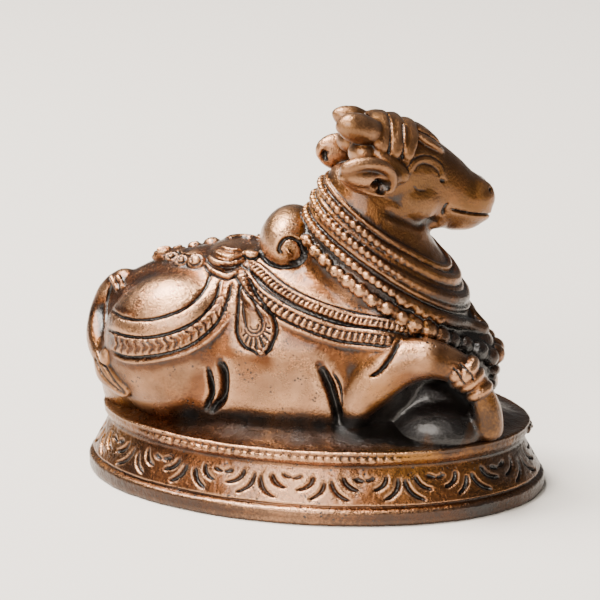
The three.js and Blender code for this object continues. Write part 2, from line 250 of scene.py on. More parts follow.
# Steeper at the foot than a round edge, as on a bead.
def domeEdge(share):
    return np.sqrt(np.maximum(0, 1 - share ** 2))


# Level over most of its width, as on a strap.
def flatEdge(share):
    ease = np.clip((1 - share) / 0.35, 0, 1)
    return ease * ease * (3 - 2 * ease)


inkDepth = 0.5  # a cut this deep is black all through


def stroke(skin, spots, facing, width, height, edge=roundEdge, ink=None):
    spots = np.atleast_2d(spots)
    facing = np.atleast_2d(facing)
    width = np.broadcast_to(np.array(width, float), (len(spots),))
    height = np.broadcast_to(np.array(height, float), (len(spots),))
    reach = width.max()
    rest, normals = skin["rest"], skin["normals"]
    near = np.flatnonzero(((rest > spots.min(0) - reach) & (rest < spots.max(0) + reach)).all(1))
    for part in np.array_split(near, max(1, len(near) * len(spots) // 2000000)):  # spares memory
        if not len(part):
            continue
        local = rest[part]
        gap = (local ** 2).sum(1)[:, None] + (spots ** 2).sum(1)[None] - 2 * local @ spots.T
        gap = np.sqrt(np.maximum(gap, 0)) / width
        closest = gap.argmin(1)
        share = np.minimum(gap[np.arange(len(part)), closest], 1)
        way = (normals[part] * facing[closest]).sum(1)
        shape = np.where((share < 1) & (way > 0.05), edge(share), 0)
        skin["points"][part] += normals[part] * (shape * height[closest])[:, None]
        stain = np.clip(-height[closest] / inkDepth, 0, 1) if ink is None else ink
        skin["ink"][part] = np.maximum(skin["ink"][part], shape * stain)


# Runs from almost nothing to 1 and back, over the given shares of its length.
def tapered(count, start=0.15, end=0.15):
    share = np.linspace(0, 1, count)
    return np.clip(np.minimum(share / max(start, 1e-6), (1 - share) / max(end, 1e-6)), 0.05, 1) ** 0.6


print("tools ready")

# the body, before anything is laid on it
bull = {
    "bodyVoxel": 0.45, "trunkRubs": 40, "neckRubs": 12, "bodyRubs": 6,  # soft folds between big forms
    "skinVoxel": 0.18, "skinRubs": 2,
    "faces": 190000,
}

trunkStations = [
    [-36.4, 0, 5, 3, 8, 7], [-33, 0, 5, 7, 13, 10], [-28, 0, 5, 10.6, 16.4, 12],
    [-20, 0, 5, 13.8, 19.5, 12], [-10, 0, 5, 16, 20.8, 12], [2, 0, 5, 16.6, 21, 12],
    [12, 0, 5, 14, 19, 12], [19, 0, 5, 9.5, 15, 12], [24.6, 0, 5, 6.5, 10.4, 12], [28.8, 0, 4, 3.6, 7, 9],
]
neckStations = [
    [13.6, 0, 3, 9, 14], [12.4, 0, 12, 11, 14, 13.5], [10.6, 0, 18, 11.2, 13.9, 12.9],
    [8.8, 0, 24, 10.2, 12.2, 11.4], [8.3, 0, 29, 8.6, 10.3, 10.2], [8.8, 0.3, 34, 7.2, 8.2, 9],
    [10, 0.8, 39, 6, 6.6, 7.6],
]

forms = [limb(trunkStations, 48, 64, 0.05)]
for side in bothSides:
    forms.append(lump((-20.6, side * 7.2, 9.6), (13, 9.6, 12.6)))  # haunch
    forms.append(lump((12, side * 7.8, 9.6), (7.6, 7.6, 10.6), turn=0.12))  # shoulder
trunk = fused(forms, "trunk", bull["bodyVoxel"], bull["trunkRubs"])
neck = limb(neckStations, 40, 48, 0.05)
bareBody = fused([trunk, neck], "bare_body", bull["bodyVoxel"], bull["neckRubs"])
throat = surfaceOf(bareBody)

raisedForeleg = [
    [9.5, -12.8, -0.6, 2.4], [9.9, -13, 4.2, 3.3], [12.4, -13, 8.2, 3.5, 4.2], [16.2, -12.6, 11, 3.4, 4],
    [20.9, -12, 12, 3, 3.3], [24.7, -11, 10.8, 2.6, 2.7], [27.5, -10.2, 8.6, 2.3], [29, -9.9, 6, 2.2],
    [30, -9.7, 3.2, 2.4], [30.3, -9.5, 0.3, 2.4], [30.3, -9.4, -1.7, 2.3],
]
foldedForeleg = [
    [9, 11.5, 2, 3.8], [15, 11.8, 4.4, 3.8], [21, 10.2, 4.6, 3.4], [25.6, 7.6, 3.8, 3],
    [27.4, 4.4, 1.6, 2.6],
]
brisket = [
    [11, -4.2, 1, 6, 8], [17, -5.2, 0.8, 6, 8.2], [22, -6.4, 0.4, 5, 6.8], [26.4, -8, -0.2, 3.4, 4],
    [30, -9.8, -0.8, 1.5, 1.7],
]
tail = [
    [-30.4, 0, 19.6, 2, 1.6], [-34.2, 0, 16.6, 2.3, 1.8], [-35.8, -0.8, 12.6, 2.4, 2],
    [-35.2, -4, 9.8, 2.5, 2.2], [-33.5, -7.4, 8, 2.3, 2.2], [-31.6, -10.2, 6.8, 2, 2.2],
]
skull = [
    [-5, 0, 40, 4.6], [-1, 0, 40.3, 6.6, 7], [4, 0, 38.9, 6.4, 6.6, 7.4], [8.5, 0, 36.4, 5.2, 5.9, 6.4],
    [12.5, 0, 34.3, 4.4, 4.7, 5.2], [15.4, 0, 33.6, 4, 3.9, 4.4], [17.7, 0, 33.7, 3.2, 2.9, 3.2],
]

headForms = [limb(skull, 40, 56, 0.05)]
for side in bothSides:
    headForms.append(lump((4.4, side * 3.6, 35.2), (4.6, 3, 3.8), turn=0.3))  # cheek
    headForms.append(lump((15.4, side * 1.5, 34.2), (2.9, 2.9, 3)))  # muzzle
headForms.append(lump((12.6, 0, 30.5), (4, 3, 2), turn=0.06))  # chin
headForms.append(lump((8.4, 0, 31.4), (3.6, 3.6, 2.3)))  # throat
bodyParts = [bareBody] + [onHead(form) for form in headForms]
bodyParts += [limb(raisedForeleg), limb(foldedForeleg), limb(brisket), limb(tail)]
bodyParts.append(lump((20.4, -12.2, 12.6), (3.4, 3, 2.9)))  # knee
bodyParts.append(lump((21.5, -8, -1.5), (8.5, 6.6, 6.2)))  # web under the raised foreleg
bodyParts.append(lump((-3.9, -0.4, 27.2), (4.9, 7.4, 5.3), turn=0.25))  # hump
base = fused(bodyParts, "bull", bull["bodyVoxel"], bull["bodyRubs"])
print("body modelled")

# what is laid on the body before it is fused again: first horns and ears, in the head's own places
nearHorn = [
    [-1.2, -2.6, 44.6, 1.8], [-3.6, -4.3, 46.6, 2.3], [-6.2, -4.9, 47.6, 2.3], [-8.9, -5.1, 48, 1.5],
]
farHorn = [[-1.2, 2.4, 45, 2], [-3.4, 3, 46.6, 2.1], [-5.4, 3, 47.4, 1.9], [-7.6, 2.9, 48.2, 0.9]]
dress = [onHead(limb(nearHorn, endShare=0.25)), onHead(limb(farHorn, endShare=0.2))]

earRim = [
    [-9.2, -9.6, 41.6, 0.8], [-7.6, -10.1, 42.6, 1.15], [-5, -10.3, 43, 1.1], [-2.5, -9.9, 42.3, 1],
    [-0.9, -9.1, 40.6, 0.9], [-0.7, -8.7, 38.8, 0.75], [-1.6, -8.8, 37.5, 0.6],
]
earUnder = [
    [-9.2, -9.6, 41.4, 0.9], [-7.4, -9.4, 39.9, 0.7], [-4.6, -9.3, 38.2, 0.5], [-1.8, -8.9, 37.4, 0.5],
]
dress += [onHead(limb(earRim, 16, 40)), onHead(limb(earUnder, 14, 30))]
dress.append(onHead(lump((-4.4, -8, 40.2), (4.6, 2, 2.9), turn=0.2)))  # near ear, and its tip
dress.append(onHead(lump((-6.2, -9.2, 40.9), (3.2, 1.9, 1.9), turn=0.32)))
dress.append(onHead(lump((-4.6, 8, 40.3), (4.6, 2.2, 3.2), turn=0.2)))  # far ear
for side in bothSides:
    dress.append(onHead(lump((-0.8, side * 6.8, 39.8), (2.2, 2.2, 2))))  # root of the ear
    dress.append(onHead(lump((-4.2, side * 4, 43.2), (2.4, 2.6, 2))))  # poll behind the ear

# the bands over the crown, each to the middle of the head
crownBands = [
    [[-1.8, -6.3, 43.6], [-1.5, -5.8, 45.2], [-1.1, -4.6, 46.8], [-0.8, -2, 48], [-0.7, 0, 48.2]],
    [[0.5, -6.5, 42.6], [0.5, -5.9, 44.8], [0.8, -4.5, 46.4], [1.2, -2, 47.5], [1.3, 0, 47.7]],
    [[2.6, -6.3, 42], [2.5, -5.5, 44.4], [2.8, -4.1, 45.8], [3.2, -1.8, 46.6], [3.4, 0, 46.8]],
]
crownWidths = [0.7, 1.7, 1.85, 1.7, 1.6]
for band in crownBands:
    ridge = [[*spot, wide, 0.65] for spot, wide in zip(band, crownWidths)]
    across = ridge + onSide(ridge[-2::-1], -nearSide)
    dress.append(onHead(limb(across, 18, 60, 0.05, across=(1, 0, 0))))

strapLobe = [
    [-3, -4.4, 44.4, 1.1, 0.8], [-1.8, -6, 43.2, 1.3, 0.9], [-0.4, -6.7, 41.6, 1.45, 1],
    [1, -7, 40, 1.5, 1], [1.7, -6.6, 38.8, 1.2, 0.9],
]
foreheadLeaves = [
    [[3.6, -0.6, 46.7, 0.7, 0.5], [6, -1.1, 45.5, 1.4, 0.7], [8, -1.2, 44, 1.2, 0.6],
     [9.4, -0.8, 42.6, 0.4, 0.3]],
    [[4, -2.4, 45.7, 0.7, 0.5], [6.2, -3.1, 44.4, 1.3, 0.7], [8.2, -2.8, 43, 1.1, 0.6],
     [9.8, -1.9, 41.4, 0.4, 0.3]],
]
for side in bothSides:
    dress.append(onHead(limb(onSide(strapLobe, side), 18, 36, 0.1, across=(1, 0, 0))))
    for leaf in foreheadLeaves:
        dress.append(onHead(limb(onSide(leaf, side), 16, 30)))
    dress.append(onHead(lump((5.5, side * 5, 39.5), (1.5, 1.1, 1.1), segments=20)))  # eyeball


# A neck rope is a level cut through the bare neck, tilted by its place on the nape and on the chest.
def neckLoop(nape, chest, count):
    centre = np.array([(nape[0] + chest[0]) / 2, 0, (nape[1] + chest[1]) / 2])
    forward = unit(np.array([chest[0] - nape[0], 0, chest[1] - nape[1]], float))
    spots, facing = [], []
    for angle in np.arange(count) / count * 2 * math.pi:
        outward = forward * math.cos(angle) + np.array([0, 1, 0]) * math.sin(angle)
        spots.append(throat.ray_cast(Vector(centre + outward * 60), Vector(-outward))[0])
        facing.append(outward)
    spots = np.array(spots)
    for _ in range(6):
        spots = 0.5 * spots + 0.25 * (np.roll(spots, 1, 0) + np.roll(spots, -1, 0))
    return spots, np.array(facing)


luck = np.random.default_rng(7)  # how much the repeated pieces differ
ropes = {  # each rope's place on the nape and on the chest, ahead and up
    "beaded": [[(1.9, 36.3), (23.6, 21.4)], [(0.2, 34.4), (24.8, 18.6)], [(-1.6, 32.4), (26, 14.8)]],
    "plain": [[(2.7, 37.4), (23, 23)], [(1, 35.3), (24.2, 20)], [(-0.6, 33.5), (25.4, 17)]],
    "napeRadius": 0.6, "chestRadius": 1.15, "bead": 0.68, "pitch": 1.12,
    "plainRadius": 0.4,
}


# 1 at the front of the chest, 0 round at the nape
def chestShare(spots):
    front = (spots[:, 0] - spots[:, 0].min()) / np.ptp(spots[:, 0])
    return np.clip((front - 0.45) / 0.45, 0, 1)


for nape, chest in ropes["beaded"]:
    spots, facing = neckLoop(nape, chest, 220)
    swell = ropes["napeRadius"] + (ropes["chestRadius"] - ropes["napeRadius"]) * chestShare(spots)
    dress.append(cordOn(spots, facing, swell))
    place, face = evenly(spots, facing, ropes["pitch"], closed=True)
    worn = (1 - 0.45 * chestShare(place)) * luck.uniform(0.85, 1.12, len(place))
    lift = 0.5 + 0.4 * chestShare(place)
    dress.append(strung(place + face * lift[:, None], ropes["bead"] * worn))
for nape, chest in ropes["plain"]:
    spots, facing = neckLoop(nape, chest, 200)
    dress.append(cordOn(spots, facing, ropes["plainRadius"] * (1 + 0.6 * chestShare(spots)), sides=8))

garland = {
    "line": [(-3.2, 30.2), (26.6, 11.6)], "pitch": 2.5, "napeBead": 1.1, "chestBead": 1.75,
    "spacer": 0.55, "cord": 0.5,
}
spots, facing = neckLoop(*garland["line"], 240)
place, face = evenly(spots, facing, garland["pitch"], closed=True)
swell = garland["napeBead"] + (garland["chestBead"] - garland["napeBead"]) * chestShare(place)
swell *= luck.uniform(0.88, 1.1, len(place))
dress.append(strung(place + face * 0.3 + luck.normal(0, 0.08, place.shape), swell))
dress.append(cordOn(spots, facing, garland["cord"], sides=8))
looseBeads = [
    (19, -9.4, 19.2), (19.7, -8.6, 16.6), (17.8, -10.6, 18), (16.2, -10.3, 20.9), (20.8, -7.6, 17.8),
    (15.2, -11, 19.2),
]
for spot in looseBeads:
    found, normal, _, _ = throat.find_nearest(Vector(spot))
    dress.append(strung([found + normal * 0.2, found + normal * 0.1 + Vector((0.9, 0, -0.7))], [0.95, 0.7]))
between, betweenFace = (place + np.roll(place, -1, 0)) / 2, unit(face + np.roll(face, -1, 0))
for side in bothSides:
    dress.append(strung(between + betweenFace * 0.5 + np.array([0, 0, side * 0.55]), garland["spacer"]))

# beads that hang down the middle of the chest
chestDrop = {"top": 9.6, "foot": 0.4, "pitch": 2.5, "bead": 1.4}
for z in np.arange(chestDrop["top"], chestDrop["foot"], -chestDrop["pitch"]):
    found = throat.ray_cast(Vector((60, -0.3, z)), Vector((-1, 0, 0)))[0]
    dress.append(lump(tuple(found), (chestDrop["bead"], chestDrop["bead"] * 1.3, 1.1), segments=16))
    dress.append(strung([[found.x + 0.1, -0.3, z - chestDrop["pitch"] / 2]], [0.8]))

# rings round the raised foreleg above its hoof: centre, axis, radius and thickness
anklets = [
    [(26.3, -10.7, 9.9), (2.5, 0.6, -2.3), 2, 1.15], [(27.3, -10.4, 8.6), (2.1, 0.4, -2.5), 1.8, 0.95],
    [(28.5, -10.1, 6.7), (1.4, 0.2, -2.6), 1.75, 0.85],
]
for centre, axis, across, thick in anklets:
    bpy.ops.mesh.primitive_torus_add(
        location=centre, rotation=Vector(axis).to_track_quat("Z", "Y").to_euler(),
        major_segments=40, minor_segments=16, major_radius=across, minor_radius=thick)
    bpy.ops.object.transform_apply(location=True, rotation=True, scale=True)
    dress.append(bpy.context.object)
dress.append(lump((25.4, -13.2, 10.1), (1, 0.8, 1.2), turn=0.6, segments=16))  # knot of the anklet

# tuft of the tail, laid round the haunch
tuft = [
    [-33.4, -7.4, 8, 1.9, 2.4], [-31.5, -10.6, 6.4, 2, 2.9], [-29.6, -12.5, 4.8, 1.6, 2],
    [-27.3, -13.9, 3.2, 0.9, 1],
]
dress.append(limb(tuft, 20, 40))
dress.append(lump((-31.5, -11.2, 8.4), (1.7, 1.7, 1.8), segments=20))

# saddle cloth, and the knobs along its edge: place, half sizes and turn
dress.append(lump((-13, 0, 24.1), (4.8, 7.4, 1.6)))
dress.append(lump((-22.6, 0, 22.7), (4.4, 3, 1.2), turn=-0.15))
saddleKnobs = [
    [(-9.2, -4.6, 25), (1.7, 1.1, 0.9), 0.25],  # bow knot
    [(-18.3, -5.2, 23.5), (1.6, 1.4, 1.3), 0], [(-21, -4.2, 23.2), (1.3, 1.2, 1), 0],
    [(-23.2, -2.2, 23.1), (1.3, 1.1, 0.9), 0], [(-25.6, -1, 22.9), (1.5, 0.8, 0.7), -0.3],
]
for side in bothSides:
    for centre, halfSizes, turn in saddleKnobs:
        dress.append(lump(onSide([centre], side)[0], halfSizes, turn, 20))

skin = fused([base] + dress, "nandi_bull_cast", bull["skinVoxel"], bull["skinRubs"])
print("dress fused:", len(skin.data.vertices), "points")

# strokes on the bull, each a line on its skin with a width and a height, or a depth below 0
work = carving(skin)
whole = surfaceOf(skin)


def bodyStroke(rows, width, height, side=nearSide, edge=roundEdge, count=120, ends=(0.1, 0.1)):
    spots, facing = laidOn(whole, onSide(rows, side), count)
    stroke(work, spots, facing, width, height * tapered(count, *ends), edge)


def headStroke(rows, width, height, side, count=60, ends=(0.15, 0.15), ink=None):
    spots, facing = laidOn(whole, toHead(onSide(rows, side)), count)
    stroke(work, spots, facing, width, height * tapered(count, *ends), ink=ink)


# Moves a laid line over the surface, upwards where it runs to the front.
def beside(spots, facing, shift, side):
    ahead = unit(np.gradient(spots, axis=0))
    return spots + np.cross(facing, ahead) * shift * -side


# The slanting teeth of a twisted strap.
def teeth(spots, facing, wide, side):
    place, face = evenly(spots, facing, strap["pitch"] * wide)
    ahead = unit(np.gradient(place, axis=0))
    up = np.cross(face, ahead) * -side
    fade = tapered(len(place), 0.08, 0.05) * luck.uniform(0.75, 1.15, len(place))
    for spot, sight, way, rise, share in zip(place, face, ahead, up, fade):
        reach = (rise + way * (strap["slant"] + luck.uniform(-0.15, 0.15))) * strap["tooth"] * wide / 2
        ends = np.array([spot - reach, spot, spot + reach])
        stroke(work, ends, np.array([sight] * 3), strap["thick"] * wide, strap["rise"] * share, domeEdge)


# face: brow, lids, mouth and jaw
browArc = [[2.1, -7.1, 40.6], [3.8, -6, 42.3], [6.1, -5, 42.4], [8.2, -4.4, 41], [9.1, -4.9, 39]]
lidArc = [[3.4, -6.4, 40.2], [4.6, -6.1, 41.3], [6.2, -5.9, 41.2], [7.6, -5.3, 40], [8, -5.2, 38.8]]
underArc = [[3.4, -6.5, 37.9], [4.2, -6.3, 37.2], [5.6, -5.9, 36.9]]
mouthLine = [
    [10.2, -4.3, 33.1], [12.1, -4, 32.5], [13.8, -3.9, 32], [15.6, -3.7, 31.6], [17.6, -2.6, 31.2],
    [18.6, 0, 31],
]
jawLine = [
    [-1.4, -6.2, 34.2], [0.6, -6.1, 33], [2.6, -5.8, 32], [4.8, -5.3, 31.2], [7.4, -4.4, 30.6],
    [9.6, -3.4, 30.4],
]
for side in bothSides:
    for first, second in zip(crownBands, crownBands[1:]):
        between = ((np.array(first) + second) / 2).tolist()
        headStroke(between, 0.3, -0.5, side, ends=(0, 0), ink=0.7)
    headStroke(browArc, 0.36, -0.2, side, ink=0.2)
    headStroke([[x, y, z - 0.7] for x, y, z in browArc], 0.6, 0.2, side)
    headStroke(lidArc, 0.3, -0.17, side, ink=0.2)
    headStroke(underArc, 0.3, -0.12, side, ink=0.1)
    headStroke(mouthLine, 0.38, -0.8, side, ends=(0.1, 0.5))
    headStroke([[9, -3.6, 32.2], [9, -4.3, 33.4], [9.5, -4.5, 34.3]], 0.4, -0.45, side)
    headStroke(jawLine, 1.4, -0.4, side, ink=0.12)
    headStroke([[17.1, -2.6, 35.8], [16.6, -3.2, 35.3]], 0.45, -0.7, side, count=12, ends=(0, 0.4))
    headStroke([[8.1, -5.2, 38.3], [9, -4.9, 38]], 0.36, -0.5, side, count=12, ends=(0, 0.4))
    headStroke([[3.8, -1.6, 45.8], [6.4, -2.1, 44.7], [8.6, -1.9, 43.2]], 0.3, -0.4, side)  # beside a leaf

# hollow of the near ear, with the small ball that stands in it
earHollow = [[-4.3, -9.6, 40], [-3.2, -9.7, 39.5], [-2.3, -9.6, 38.9]]
spots, facing = laidOn(whole, toHead(earHollow), 30)
stroke(work, spots, facing, np.linspace(0.9, 1.5, 30), np.linspace(-0.9, -2.3, 30))
spots, facing = nearestOn(whole, [toHead([-2.9, -9.6, 38.9])])
stroke(work, spots, facing, 0.8, 1.1, ink=0)

# hollow of the far ear, which opens sideways behind the horn
spots, facing = laidOn(whole, toHead([[-8.2, 5.6, 41.4], [-8.6, 6, 40], [-8, 6.2, 38.8]]), 24)
stroke(work, spots, facing, 0.9, -0.9 * tapered(24, 0.3, 0.3))

# hump: a spiral groove round a small boss
humpSpiral = [
    [-3.6, -7.8, 26.2], [-4.3, -7.8, 27.2], [-3.8, -7.4, 28.4], [-2.8, -7, 29], [-1.8, -6.5, 28.7],
    [-1, -5.9, 27.6], [-0.9, -5.5, 26], [-1.7, -5.9, 24.9], [-3, -6.7, 24.8],
]
humpEdge = [
    [-7.9, -3.6, 26.4], [-7, -5, 24.7], [-4.6, -6.2, 23.7], [-2, -6, 23.8], [-0.2, -5.6, 25.2],
    [0.4, -4.6, 27],
]
for side in bothSides:
    bodyStroke(humpSpiral, np.linspace(0.6, 0.3, 90), -0.7, side, count=90)
    bodyStroke([[-2.8, -7.2, 26.7], [-2.6, -7.1, 26.9]], 1, 0.6, side, count=6, ends=(0, 0))
    bodyStroke(humpEdge, 0.5, -0.7, side)

# straps from the saddle forward to the shoulder; pitch, tooth and thick are shares of a strap's width
strap = {
    "upper": 1.0, "lower": 1.25, "pitch": 0.82, "tooth": 0.7, "thick": 0.36, "rise": 0.42, "slant": 0.25,
}
strapUpper = [
    [-10.2, -5.7, 24.2], [-7.2, -7.9, 23.3], [-4.3, -10, 22], [-0.8, -11.2, 20.4], [3.4, -11.7, 18.9],
    [8.3, -12, 17.9], [13.9, -12.4, 17.3], [18.3, -9.7, 15.9],
]
strapLower = [
    [-10.5, -8, 23.8], [-8.4, -9.9, 21.7], [-6.1, -11.5, 20.3], [-2.1, -12.6, 18.4], [2.1, -13.1, 16.9],
    [6.9, -13.3, 15.8], [11.8, -13.7, 15.6], [15.7, -12.9, 15.1],
]
strapLines = [  # how far up the strap's width, width, height, edge and ink
    (0.62, 0.36, 0.34, domeEdge, None), (0.25, 0.2, -0.25, roundEdge, 0.15),
    (1.12, 0.34, -0.4, roundEdge, 0.35), (-0.95, 0.34, -0.45, roundEdge, 0.5),
]
for side in bothSides:
    for rows, wide in ((strapUpper, strap["upper"]), (strapLower, strap["lower"])):
        spots, facing = laidOn(whole, onSide(rows, side), 150)
        fade = tapered(150, 0.1, 0.1)
        stroke(work, spots, facing, wide * 1.15, 0.32 * fade, flatEdge)
        teeth(beside(spots, facing, -0.28 * wide, side), facing, wide, side)
        for up, width, height, edge, ink in strapLines:
            stroke(work, beside(spots, facing, up * wide, side), facing, width, height * fade, edge, ink)
    hem = beside(spots, facing, -1.75, side)
    stroke(work, hem, facing, 0.7, 0.3 * tapered(150, 0.3, 0.1))

# swag that hangs from the saddle round the rump
swagTop = [
    [-15.4, -6.7, 22.4], [-15.8, -10, 20.4], [-17.4, -13.1, 18.7], [-20.4, -14.6, 17.3],
    [-24, -14.6, 16.2], [-28.3, -13, 15.8], [-31.6, -8.4, 15.5],
]
swagMiddle = [
    [-13.3, -8.6, 21.8], [-13.7, -11.7, 19.4], [-15.5, -14.4, 17.1], [-18.5, -15.7, 15.3],
    [-22.5, -15.9, 13.9], [-26.9, -14.9, 13.3], [-31, -11, 13],
]
swagFoot = [
    [-11.5, -9.1, 21.2], [-11.8, -11, 18.5], [-13.5, -14.4, 15.6], [-16.6, -16.4, 13.1],
    [-21.3, -17.3, 11.4], [-26.8, -15.4, 10.1], [-30.2, -13, 10.2],
]
swagHem = [
    [-10.4, -12.6, 17.4], [-13, -13.9, 14.4], [-16.8, -16.1, 11.9], [-21.6, -16.5, 10.3],
    [-26.5, -15.5, 9.3], [-30, -13, 9.3],
]


# Raises the cloth between two lines, and gives the middle line with its half widths.
def bandBetween(upper, lower, height, edge, side, count=150):
    upper, lower = (smoothRows(onSide(rows, side), count) for rows in (upper, lower))
    spots, facing = nearestOn(whole, (upper + lower) / 2)
    half = np.linalg.norm(upper - lower, axis=1) / 2
    stroke(work, spots, facing, half * 1.1, height * tapered(count, 0.1, 0.1), edge)
    return spots, facing, half


for side in bothSides:
    bandBetween(swagTop, swagMiddle, 0.55, domeEdge, side)
    spots, facing, half = bandBetween(swagMiddle, swagFoot, 0.4, flatEdge, side)
    for rows, width, depth in ((swagTop, 0.5, -0.7), (swagMiddle, 0.45, -0.6), (swagFoot, 0.4, -0.45)):
        bodyStroke(rows, width, depth, side)
    bodyStroke(swagHem, 0.55, 0.3, side, ends=(0.2, 0.2))
    place, face = evenly(spots, facing, 1.3)  # a row of leaves, as worn double ticks
    ahead = unit(np.gradient(place, axis=0))
    across = np.cross(face, ahead) * half.mean()
    bow = 0.12 * np.sin(np.linspace(0, math.pi, 6))[:, None]
    for i in range(2, len(place) - 2):
        lean, bite = luck.uniform(0.3, 0.7), luck.uniform(0.35, 1)
        sights = np.array([face[i]] * 6)
        for way in bothSides:
            foot = place[i] + across[i] * way * 0.15
            tip = foot + across[i] * way * 0.6 + ahead[i] * lean
            marks = np.linspace(foot, tip, 6) + ahead[i] * bow
            stroke(work, marks, sights, 0.28, -0.26 * bite, ink=0.3 * bite)
            stroke(work, marks + ahead[i] * 0.5, sights, 0.34, 0.16 * bite)

# pendant leaf between the straps and the swag: its middle line, with half widths
pendantAxis = [
    [-9.3, -9.4, 21.9, 0.6], [-8.6, -11, 20.2, 1.2], [-7.6, -12.4, 18.2, 2.1], [-6.6, -13.6, 16.2, 3],
    [-5.9, -14.5, 14.4, 2.7], [-5.4, -15, 13.1, 1.5], [-5.2, -15.4, 12.1, 0.3],
]
for side in bothSides:
    rows = smoothRows(onSide(pendantAxis, side), 60)
    spots, facing = laidOn(whole, rows[:, :3], 60)
    ahead = unit(np.gradient(spots, axis=0))
    across = unit(np.cross(facing, ahead)) * side
    half = rows[:, 3][:, None]
    stroke(work, spots, facing, rows[:, 3], 0.45, flatEdge)
    for way in bothSides:
        edgeLine = nearestOn(whole, spots + across * way * (half + 0.25))[0]
        stroke(work, edgeLine, facing, 0.42, -0.75 * tapered(60, 0.1, 0.02))
        rimLine = nearestOn(whole, spots + across * way * (half - 0.4))[0]
        stroke(work, rimLine, facing, 0.3, 0.22 * tapered(60, 0.3, 0.02))
    wedge = slice(4, 30)
    stroke(work, spots[wedge], facing[wedge], np.linspace(0.5, 1.25, 26), 0.4, domeEdge)
    for way in bothSides:
        beam = spots[wedge] + across[wedge] * way * np.linspace(0.6, 1.5, 26)[:, None]
        stroke(work, beam, facing[wedge], 0.22, -0.35)
    # half rings round the end of the wedge, and flutes that fan out below them
    hub, down, right, sight = spots[30], ahead[34], across[34], facing[34]
    turn = np.linspace(-1.5, 1.5, 24)[:, None]
    for reach in (0.7, 1.25, 1.8):
        arc = nearestOn(whole, hub + (down * np.cos(turn) + right * np.sin(turn)) * reach)[0]
        stroke(work, arc, np.array([sight] * 24), 0.2, -0.3)
    for angle in np.linspace(-1.15, 1.15, 8):
        reach = np.linspace(2.1, 2.2 + 1.7 * math.cos(angle) ** 2, 10)[:, None]
        flute = nearestOn(whole, hub + (down * math.cos(angle) + right * math.sin(angle)) * reach)[0]
        stroke(work, flute, np.array([sight] * 10), 0.25, -0.42)

# saddle: nested crescents, curls and the leaf at its end
crescents = [
    [[-16.8, -5.7, 23.7], [-15.3, -7.2, 22.9], [-12.7, -9, 23.3], [-10.8, -8.2, 23.8]],
    [[-16.5, -4.9, 24.7], [-14.7, -6.9, 24.2], [-12.5, -7.9, 24.3], [-10.7, -6.4, 24.6]],
    [[-15.9, -4, 25.5], [-13.8, -6, 25.3], [-11.8, -6.2, 25.3], [-10.3, -4.4, 25.6]],
    [[-14.9, -2.6, 26], [-13, -4, 25.9], [-11.3, -3.4, 26]],
]
curls = [((-18.4, -5.6, 23.9), 1), ((-21, -4.6, 23.6), 0.75), ((-23.2, -2.4, 23.6), 0.75)]  # centre, reach
for side in bothSides:
    for rows in crescents:
        bodyStroke(rows, 0.42, 0.42, side, domeEdge, 60)
        bodyStroke([[x, y * 0.93, z + 0.45] for x, y, z in rows], 0.28, -0.34, side, count=60)
    bodyStroke([[x, y * 1.06, z - 0.5] for x, y, z in crescents[0]], 0.34, -0.45, side, count=60)
    for (x, y, z), reach in curls:
        curl = []
        for t in np.linspace(0, 1, 10):
            turn, out = t * 8.2 + 2.4, reach * (1 - t * 0.6)
            rise = out * math.sin(turn)
            curl.append([x + out * math.cos(turn), y + 0.6 * rise, z + 0.7 * rise])
        bodyStroke(curl, 0.26, -0.4, side, count=60)
    bodyStroke([[-26.6, -0.9, 23], [-25.2, -1.3, 23.5], [-24.2, -1.4, 23.8]], 0.3, 0.35, side, domeEdge, 24)
    bodyStroke([[-10.6, -4.9, 25.2], [-9, -5.2, 24.6], [-7.6, -5, 25.4]], 0.3, -0.45, side, count=40)
    bodyStroke([[-19.8, -3.4, 25], [-21.6, -2.4, 24.8], [-23, -0.6, 24.6]], 0.3, -0.35, side, count=40)

# folds of the legs against the belly, with the width and height of each
creases = [
    ([[-14, -15.3, 9.1], [-13.4, -14.6, 6.1], [-13.5, -14.9, 4.5], [-14.6, -14.1, 1.9]], 0.75, -1.4),
    ([[-12, -14.4, 10.3], [-11.2, -14.4, 7.9], [-11.5, -14.5, 4.5], [-13.8, -14.1, 1.7]], 1.15, -1.7),
    ([[4.1, -14.6, 10.7], [5.6, -14.7, 7.5], [6.6, -14.8, 4.2], [7.1, -14.1, 0.7]], 1.25, -1.8),
    ([[6.1, -14.6, 9.7], [7.3, -14.8, 7.7], [7.9, -15.3, 4.5]], 0.3, -0.6),
    ([[16.6, -13.2, 14.6], [15.3, -15.3, 12.9], [13.9, -15.9, 10.9], [12.4, -16, 9.8]], 0.7, -1),
]
alongCrease = np.sin(np.linspace(0.25, 0.85, 90) * math.pi)
for rows, width, depth in creases:
    bodyStroke(rows, width * (0.45 + 0.55 * alongCrease), depth, ends=(0.3, 0.1), count=90)
for rows, width, depth in creases[:3]:
    bodyStroke(rows, width, depth * 0.8, side=-nearSide, ends=(0.3, 0.1), count=90)

# tail: its edges against the rump, two grooves in the tuft, and the ridges at its root
tailEdges = [
    [[-33.6, -1.6, 17.6], [-34.3, -3.4, 14.4], [-33.5, -6.2, 12], [-31.9, -9.4, 10.6]],
    [[-33.6, 1.6, 17.6], [-34.8, 2, 13.4], [-35, -1, 8.8], [-33.8, -5, 6], [-32, -8.2, 4.4]],
]
for rows in tailEdges:
    bodyStroke(rows, 0.5, -0.5)
for lift in (-0.4, 0.6):
    bodyStroke([[x - 0.4, y - 1.6, z + lift * tall / 2] for x, y, z, _, tall in tuft], 0.3, -0.4, count=60)
for start, end in (((-34, -1, 19), (-32.4, -3.4, 17.4)), ((-32.8, -1.6, 19.4), (-31.2, -4, 18))):
    bodyStroke([start, (np.array(start) + end) / 2, end], 0.4, 0.4, count=24, edge=domeEdge)

